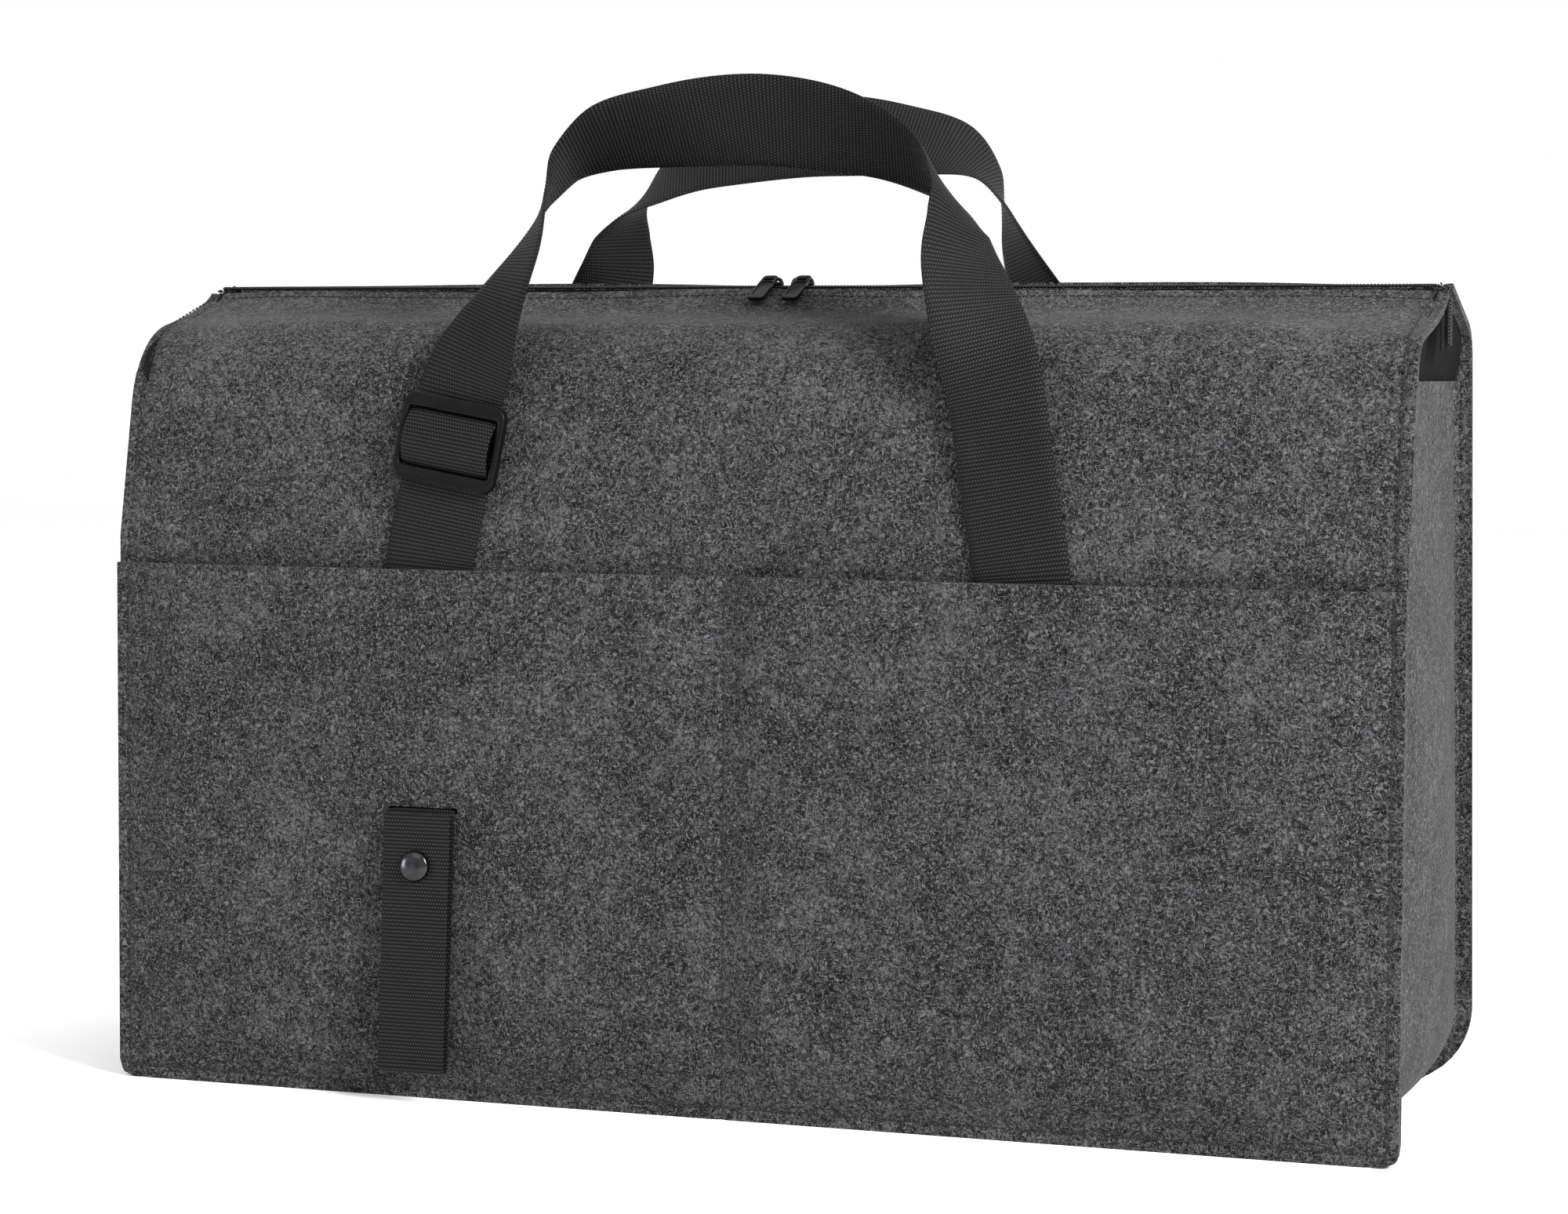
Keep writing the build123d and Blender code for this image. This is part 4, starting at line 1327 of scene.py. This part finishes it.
def stitch_line(name, route, outward, pitch=STITCH_PITCH):
    """A row of thread stitches along a route, each standing a little out of the cloth."""
    route = np.array(route, float)
    walk = distance_along(route)
    spots = np.arange(pitch / 2, walk[-1], pitch)
    near = 0.2 * MM
    run = unit(sampled(spots + near, walk, route) - sampled(spots - near, walk, route))
    out = np.array(outward, float)
    out = np.broadcast_to(out, run.shape) if out.ndim == 1 else sampled(spots, walk, out)
    out = unit(out - run * np.sum(out * run, axis=1, keepdims=True))
    side = np.cross(out, run)
    shape = bead(2.5 * MM, 0.9 * MM, 0.7 * MM, rings=3, sides=6)
    place = sampled(spots, walk, route) + out * STITCH_RISE
    made = scatter(name, shape, place, list(zip(run, side, out)), "thread")
    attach(made, "root")


def pocket_spot(x, z):
    """A place on the pocket's outer face."""
    return (x, FRONT_Y - bpy.context.scene.bag_felt.thick - pocket_depth(x, z), z)


def profile_outs(path, side):
    """Outward directions along a panel's profile, in Y and Z."""
    slopes = np.gradient(path, axis=0)
    return np.stack([np.zeros(len(path)), side * slopes[:, 1], -side * slopes[:, 0]], axis=1)


def make_side_seams():
    """The seams down each end: pocket, front panel above it, and back panel."""
    low, high = 1 * MM, POCKET_TOP - 1 * MM
    for side, name in ((-1, "left"), (1, "right")):
        x = side * (HALF_WIDTH - STITCH_INSET)
        route = [pocket_spot(x, z) for z in np.linspace(low, high, 60)]
        stitch_line("seam_pocket_" + name, route, (0, -1, 0))
        path = front_path(x)
        path = path[path[:, 1] > POCKET_TOP + 1 * MM]
        stitch_line("seam_front_" + name, [(x, y, z) for y, z in path], profile_outs(path, -1))
        path = back_path(x)
        outs = profile_outs(path, 1)
        up = path[:, 1] > BACK_CORNER / 2
        reach = HALF_WIDTH * corner_reach(path[up, 1], BACK_CORNER) - STITCH_INSET
        route = np.column_stack([side * reach, path[up]])
        stitch_line("seam_back_" + name, route, outs[up])


def make_foot_seams():
    """The seams along the foot and down the pocket's middle."""
    end = HALF_WIDTH - STITCH_INSET
    xs = np.linspace(-end, end, 200)
    zs = np.linspace(STITCH_INSET, POCKET_TOP - 1 * MM, 60)
    stitch_line("seam_pocket_foot", [pocket_spot(x, STITCH_INSET) for x in xs], (0, -1, 0))
    stitch_line("seam_pocket_middle", [pocket_spot(0, z) for z in zs], (0, -1, 0))
    back_xs = xs[np.abs(xs) < HALF_WIDTH - GUSSET_CORNER]
    back_y = back_face(STITCH_INSET)
    stitch_line("seam_back_foot", [(x, back_y, STITCH_INSET) for x in back_xs], (0, 1, 0.1))


def make_zip_seams():
    """The stitches that hold each roof edge to its zip tape."""
    for path_at, side, name in ((front_path, -1, "front"), (back_path, 1, "back")):
        grid, _, _ = panel_grid(path_at, side)
        row = grid[3:-3, -3]
        slope = np.abs(row - grid[3:-3, -5])
        outs = np.stack([np.zeros(len(row)), side * slope[:, 2], slope[:, 1]], axis=1)
        stitch_line("seam_zip_" + name, row, outs)


def make_box_stitches():
    """A box and cross of stitches on each sewn end of the back handle."""
    thick = bpy.context.scene.bag_webbing.thick

    def on_root(x, z):
        return (x, back_face(z) + thick + 0.1 * MM, z)

    for name in ("left", "right"):
        low, high = (Vector(v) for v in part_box("handle_root_back_" + name))
        x0, x1, z0, z1 = low.x + 4 * MM, high.x - 4 * MM, low.z + 4 * MM, high.z - 6 * MM
        lines = {
            "box_stitch_" + name: [(x0, z0), (x1, z0), (x1, z1), (x0, z1), (x0, z0)],
            "cross_stitch_" + name + "_0": [(x0, z0), (x1, z1)],
            "cross_stitch_" + name + "_1": [(x0, z1), (x1, z0)],
        }
        for line_name, line in lines.items():
            stitch_line(line_name, [on_root(x, z) for x, z in line], (0, 1, 0.1), pitch=BOX_STITCH_PITCH)


def make_bar_tacks():
    """The bar tack at each end of the slit."""
    low, high = (Vector(v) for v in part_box("slit_tacks"))
    shape = bead(2.9 * MM, 0.55 * MM, 0.75 * MM, rings=3, sides=6)
    places, turns = [], []
    for x in (low.x + 1.3 * MM, high.x - 1.3 * MM):
        for k in range(8):
            z = low.z + 0.25 * MM + k * 0.5 * MM
            places.append((x, high.y - 0.15 * MM, z))
            turns.append(((1, 0, 0), (0, 0, 1), (0, -1, 0)))
    made = scatter("slit_bar_tacks", shape, places, turns, "thread")
    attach(made, "root")
    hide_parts("slit_tacks")


def make_stitching():
    """Every visible seam: pocket, panels, roof edges, sewn handle ends and the slit's bar tacks."""
    make_side_seams()
    make_foot_seams()
    make_zip_seams()
    make_box_stitches()
    make_bar_tacks()


# ---------------------------------------------------------------- studio


FLOOR_REACH = 6.0
BAG_MIDDLE = (0, 0, 0.2)
LIGHTS = (
    ("key_soft", (-0.6, -2.2, 1.7), BAG_MIDDLE, (1.2, 1.2), 7),
    ("right_soft", (1.7, -1.0, 1.3), (0.2, 0, 0.28), (0.7, 0.9), 88),
    ("top_soft", (0.1, 0.4, 2.2), BAG_MIDDLE, (1.8, 1.2), 10),
    ("strip_snap", (-1.45, -1.05, 0.24), BAG_MIDDLE, (0.5, 0.45), 9),
)


def area_light(name, place, aim, size, power):
    """A large soft light aimed at a point."""
    light = bpy.data.lights.new(name, "AREA")
    light.shape = "RECTANGLE"
    light.size, light.size_y = size
    light.energy = power
    made = bpy.data.objects.new(name, light)
    bpy.context.scene.collection.objects.link(made)
    made.location = place
    made.rotation_euler = (Vector(aim) - Vector(place)).to_track_quat("-Z", "Y").to_euler()


def make_stage():
    """Pale floor, soft light and the camera."""
    studio = bpy.context.scene.bag_studio
    points = [(x * FLOOR_REACH, y * FLOOR_REACH, 0) for x, y in ((-1, -1), (1, -1), (1, 1), (-1, 1))]
    floor = new_object("studio_floor", points, [(0, 1, 2, 3)], "floor")
    world = bpy.data.worlds.new("studio_world")
    world.use_nodes = True
    world.node_tree.nodes["Background"].inputs[0].default_value = (1, 1, 1, 1)
    world.node_tree.nodes["Background"].inputs[1].default_value = 1.0
    bpy.context.scene.world = world
    bpy.context.scene.view_settings.view_transform = "Standard"
    for light in LIGHTS:
        area_light(*light)
    camera = bpy.data.cameras.new("camera")
    camera.lens, camera.sensor_width = studio.lens, 36.0
    camera.clip_start, camera.clip_end = 0.05, 50
    made = bpy.data.objects.new("camera", camera)
    bpy.context.scene.collection.objects.link(made)
    made.location = studio.place
    turn = Matrix.Rotation(studio.yaw, 4, "Z") @ Matrix.Rotation(pi / 2 - studio.pitch, 4, "X")
    made.rotation_euler = (turn @ Matrix.Rotation(studio.roll, 4, "Z")).to_euler()
    bpy.context.scene.camera = made


# ---------------------------------------------------------------- operators


class FELTBAG_OT_panels(Operator):
    """Build the front and back felt panels"""

    bl_idname = "feltbag.panels"
    bl_label = "Felt Panels"

    def execute(self, context):
        make_felt_panels()
        return {"FINISHED"}


class FELTBAG_OT_gusset(Operator):
    """Build the side and base strip and the woven ends"""

    bl_idname = "feltbag.gusset"
    bl_label = "Gusset and Ends"

    def execute(self, context):
        make_gusset()
        make_end_panels()
        return {"FINISHED"}


class FELTBAG_OT_pocket(Operator):
    """Build the front pocket"""

    bl_idname = "feltbag.pocket"
    bl_label = "Front Pocket"

    def execute(self, context):
        make_pocket()
        return {"FINISHED"}


class FELTBAG_OT_zip(Operator):
    """Build the zip tapes, coils and stops"""

    bl_idname = "feltbag.zip"
    bl_label = "Zip"

    def execute(self, context):
        make_zip()
        return {"FINISHED"}


class FELTBAG_OT_sliders(Operator):
    """Build the sliders and pull tabs"""

    bl_idname = "feltbag.sliders"
    bl_label = "Sliders and Pulls"

    def execute(self, context):
        make_sliders()
        return {"FINISHED"}


class FELTBAG_OT_handles(Operator):
    """Build both handle straps"""

    bl_idname = "feltbag.handles"
    bl_label = "Handles"

    def execute(self, context):
        make_handles()
        return {"FINISHED"}


class FELTBAG_OT_adjusters(Operator):
    """Build the strap bights and finish the moulded slides"""

    bl_idname = "feltbag.adjusters"
    bl_label = "Adjusters"

    def execute(self, context):
        make_adjusters()
        return {"FINISHED"}


class FELTBAG_OT_loop(Operator):
    """Build the snap loop"""

    bl_idname = "feltbag.loop"
    bl_label = "Snap Loop"

    def execute(self, context):
        make_loop()
        return {"FINISHED"}


class FELTBAG_OT_stitching(Operator):
    """Sew the visible seams"""

    bl_idname = "feltbag.stitching"
    bl_label = "Stitching"

    def execute(self, context):
        make_stitching()
        return {"FINISHED"}


class FELTBAG_OT_stage(Operator):
    """Set up the floor, lights and camera"""

    bl_idname = "feltbag.stage"
    bl_label = "Studio"

    def execute(self, context):
        make_stage()
        return {"FINISHED"}


OPERATORS = (
    FELTBAG_OT_stage,
    FELTBAG_OT_panels,
    FELTBAG_OT_gusset,
    FELTBAG_OT_pocket,
    FELTBAG_OT_zip,
    FELTBAG_OT_sliders,
    FELTBAG_OT_handles,
    FELTBAG_OT_adjusters,
    FELTBAG_OT_loop,
    FELTBAG_OT_stitching,
)


class FELTBAG_PT_build(Panel):
    """Lists the steps that build the bag"""

    bl_idname = "FELTBAG_PT_build"
    bl_label = "Felt Bag"
    bl_space_type = "VIEW_3D"
    bl_region_type = "UI"
    bl_category = "Felt Bag"

    def draw(self, context):
        for step in OPERATORS:
            self.layout.operator(step.bl_idname)


GROUPS = {
    "bag_felt": FeltSizes,
    "bag_webbing": WebbingSizes,
    "bag_zip": ZipSizes,
    "bag_studio": StudioSizes,
}


def register():
    for name, group in GROUPS.items():
        bpy.utils.register_class(group)
        setattr(bpy.types.Scene, name, PointerProperty(type=group))
    for step in OPERATORS:
        bpy.utils.register_class(step)
    bpy.utils.register_class(FELTBAG_PT_build)


def unregister():
    bpy.utils.unregister_class(FELTBAG_PT_build)
    for step in reversed(OPERATORS):
        bpy.utils.unregister_class(step)
    for name, group in GROUPS.items():
        delattr(bpy.types.Scene, name)
        bpy.utils.unregister_class(group)


def main():
    register()
    for step in OPERATORS:
        getattr(bpy.ops.feltbag, step.bl_idname.split(".")[1])()


if __name__ == "__main__":
    main()
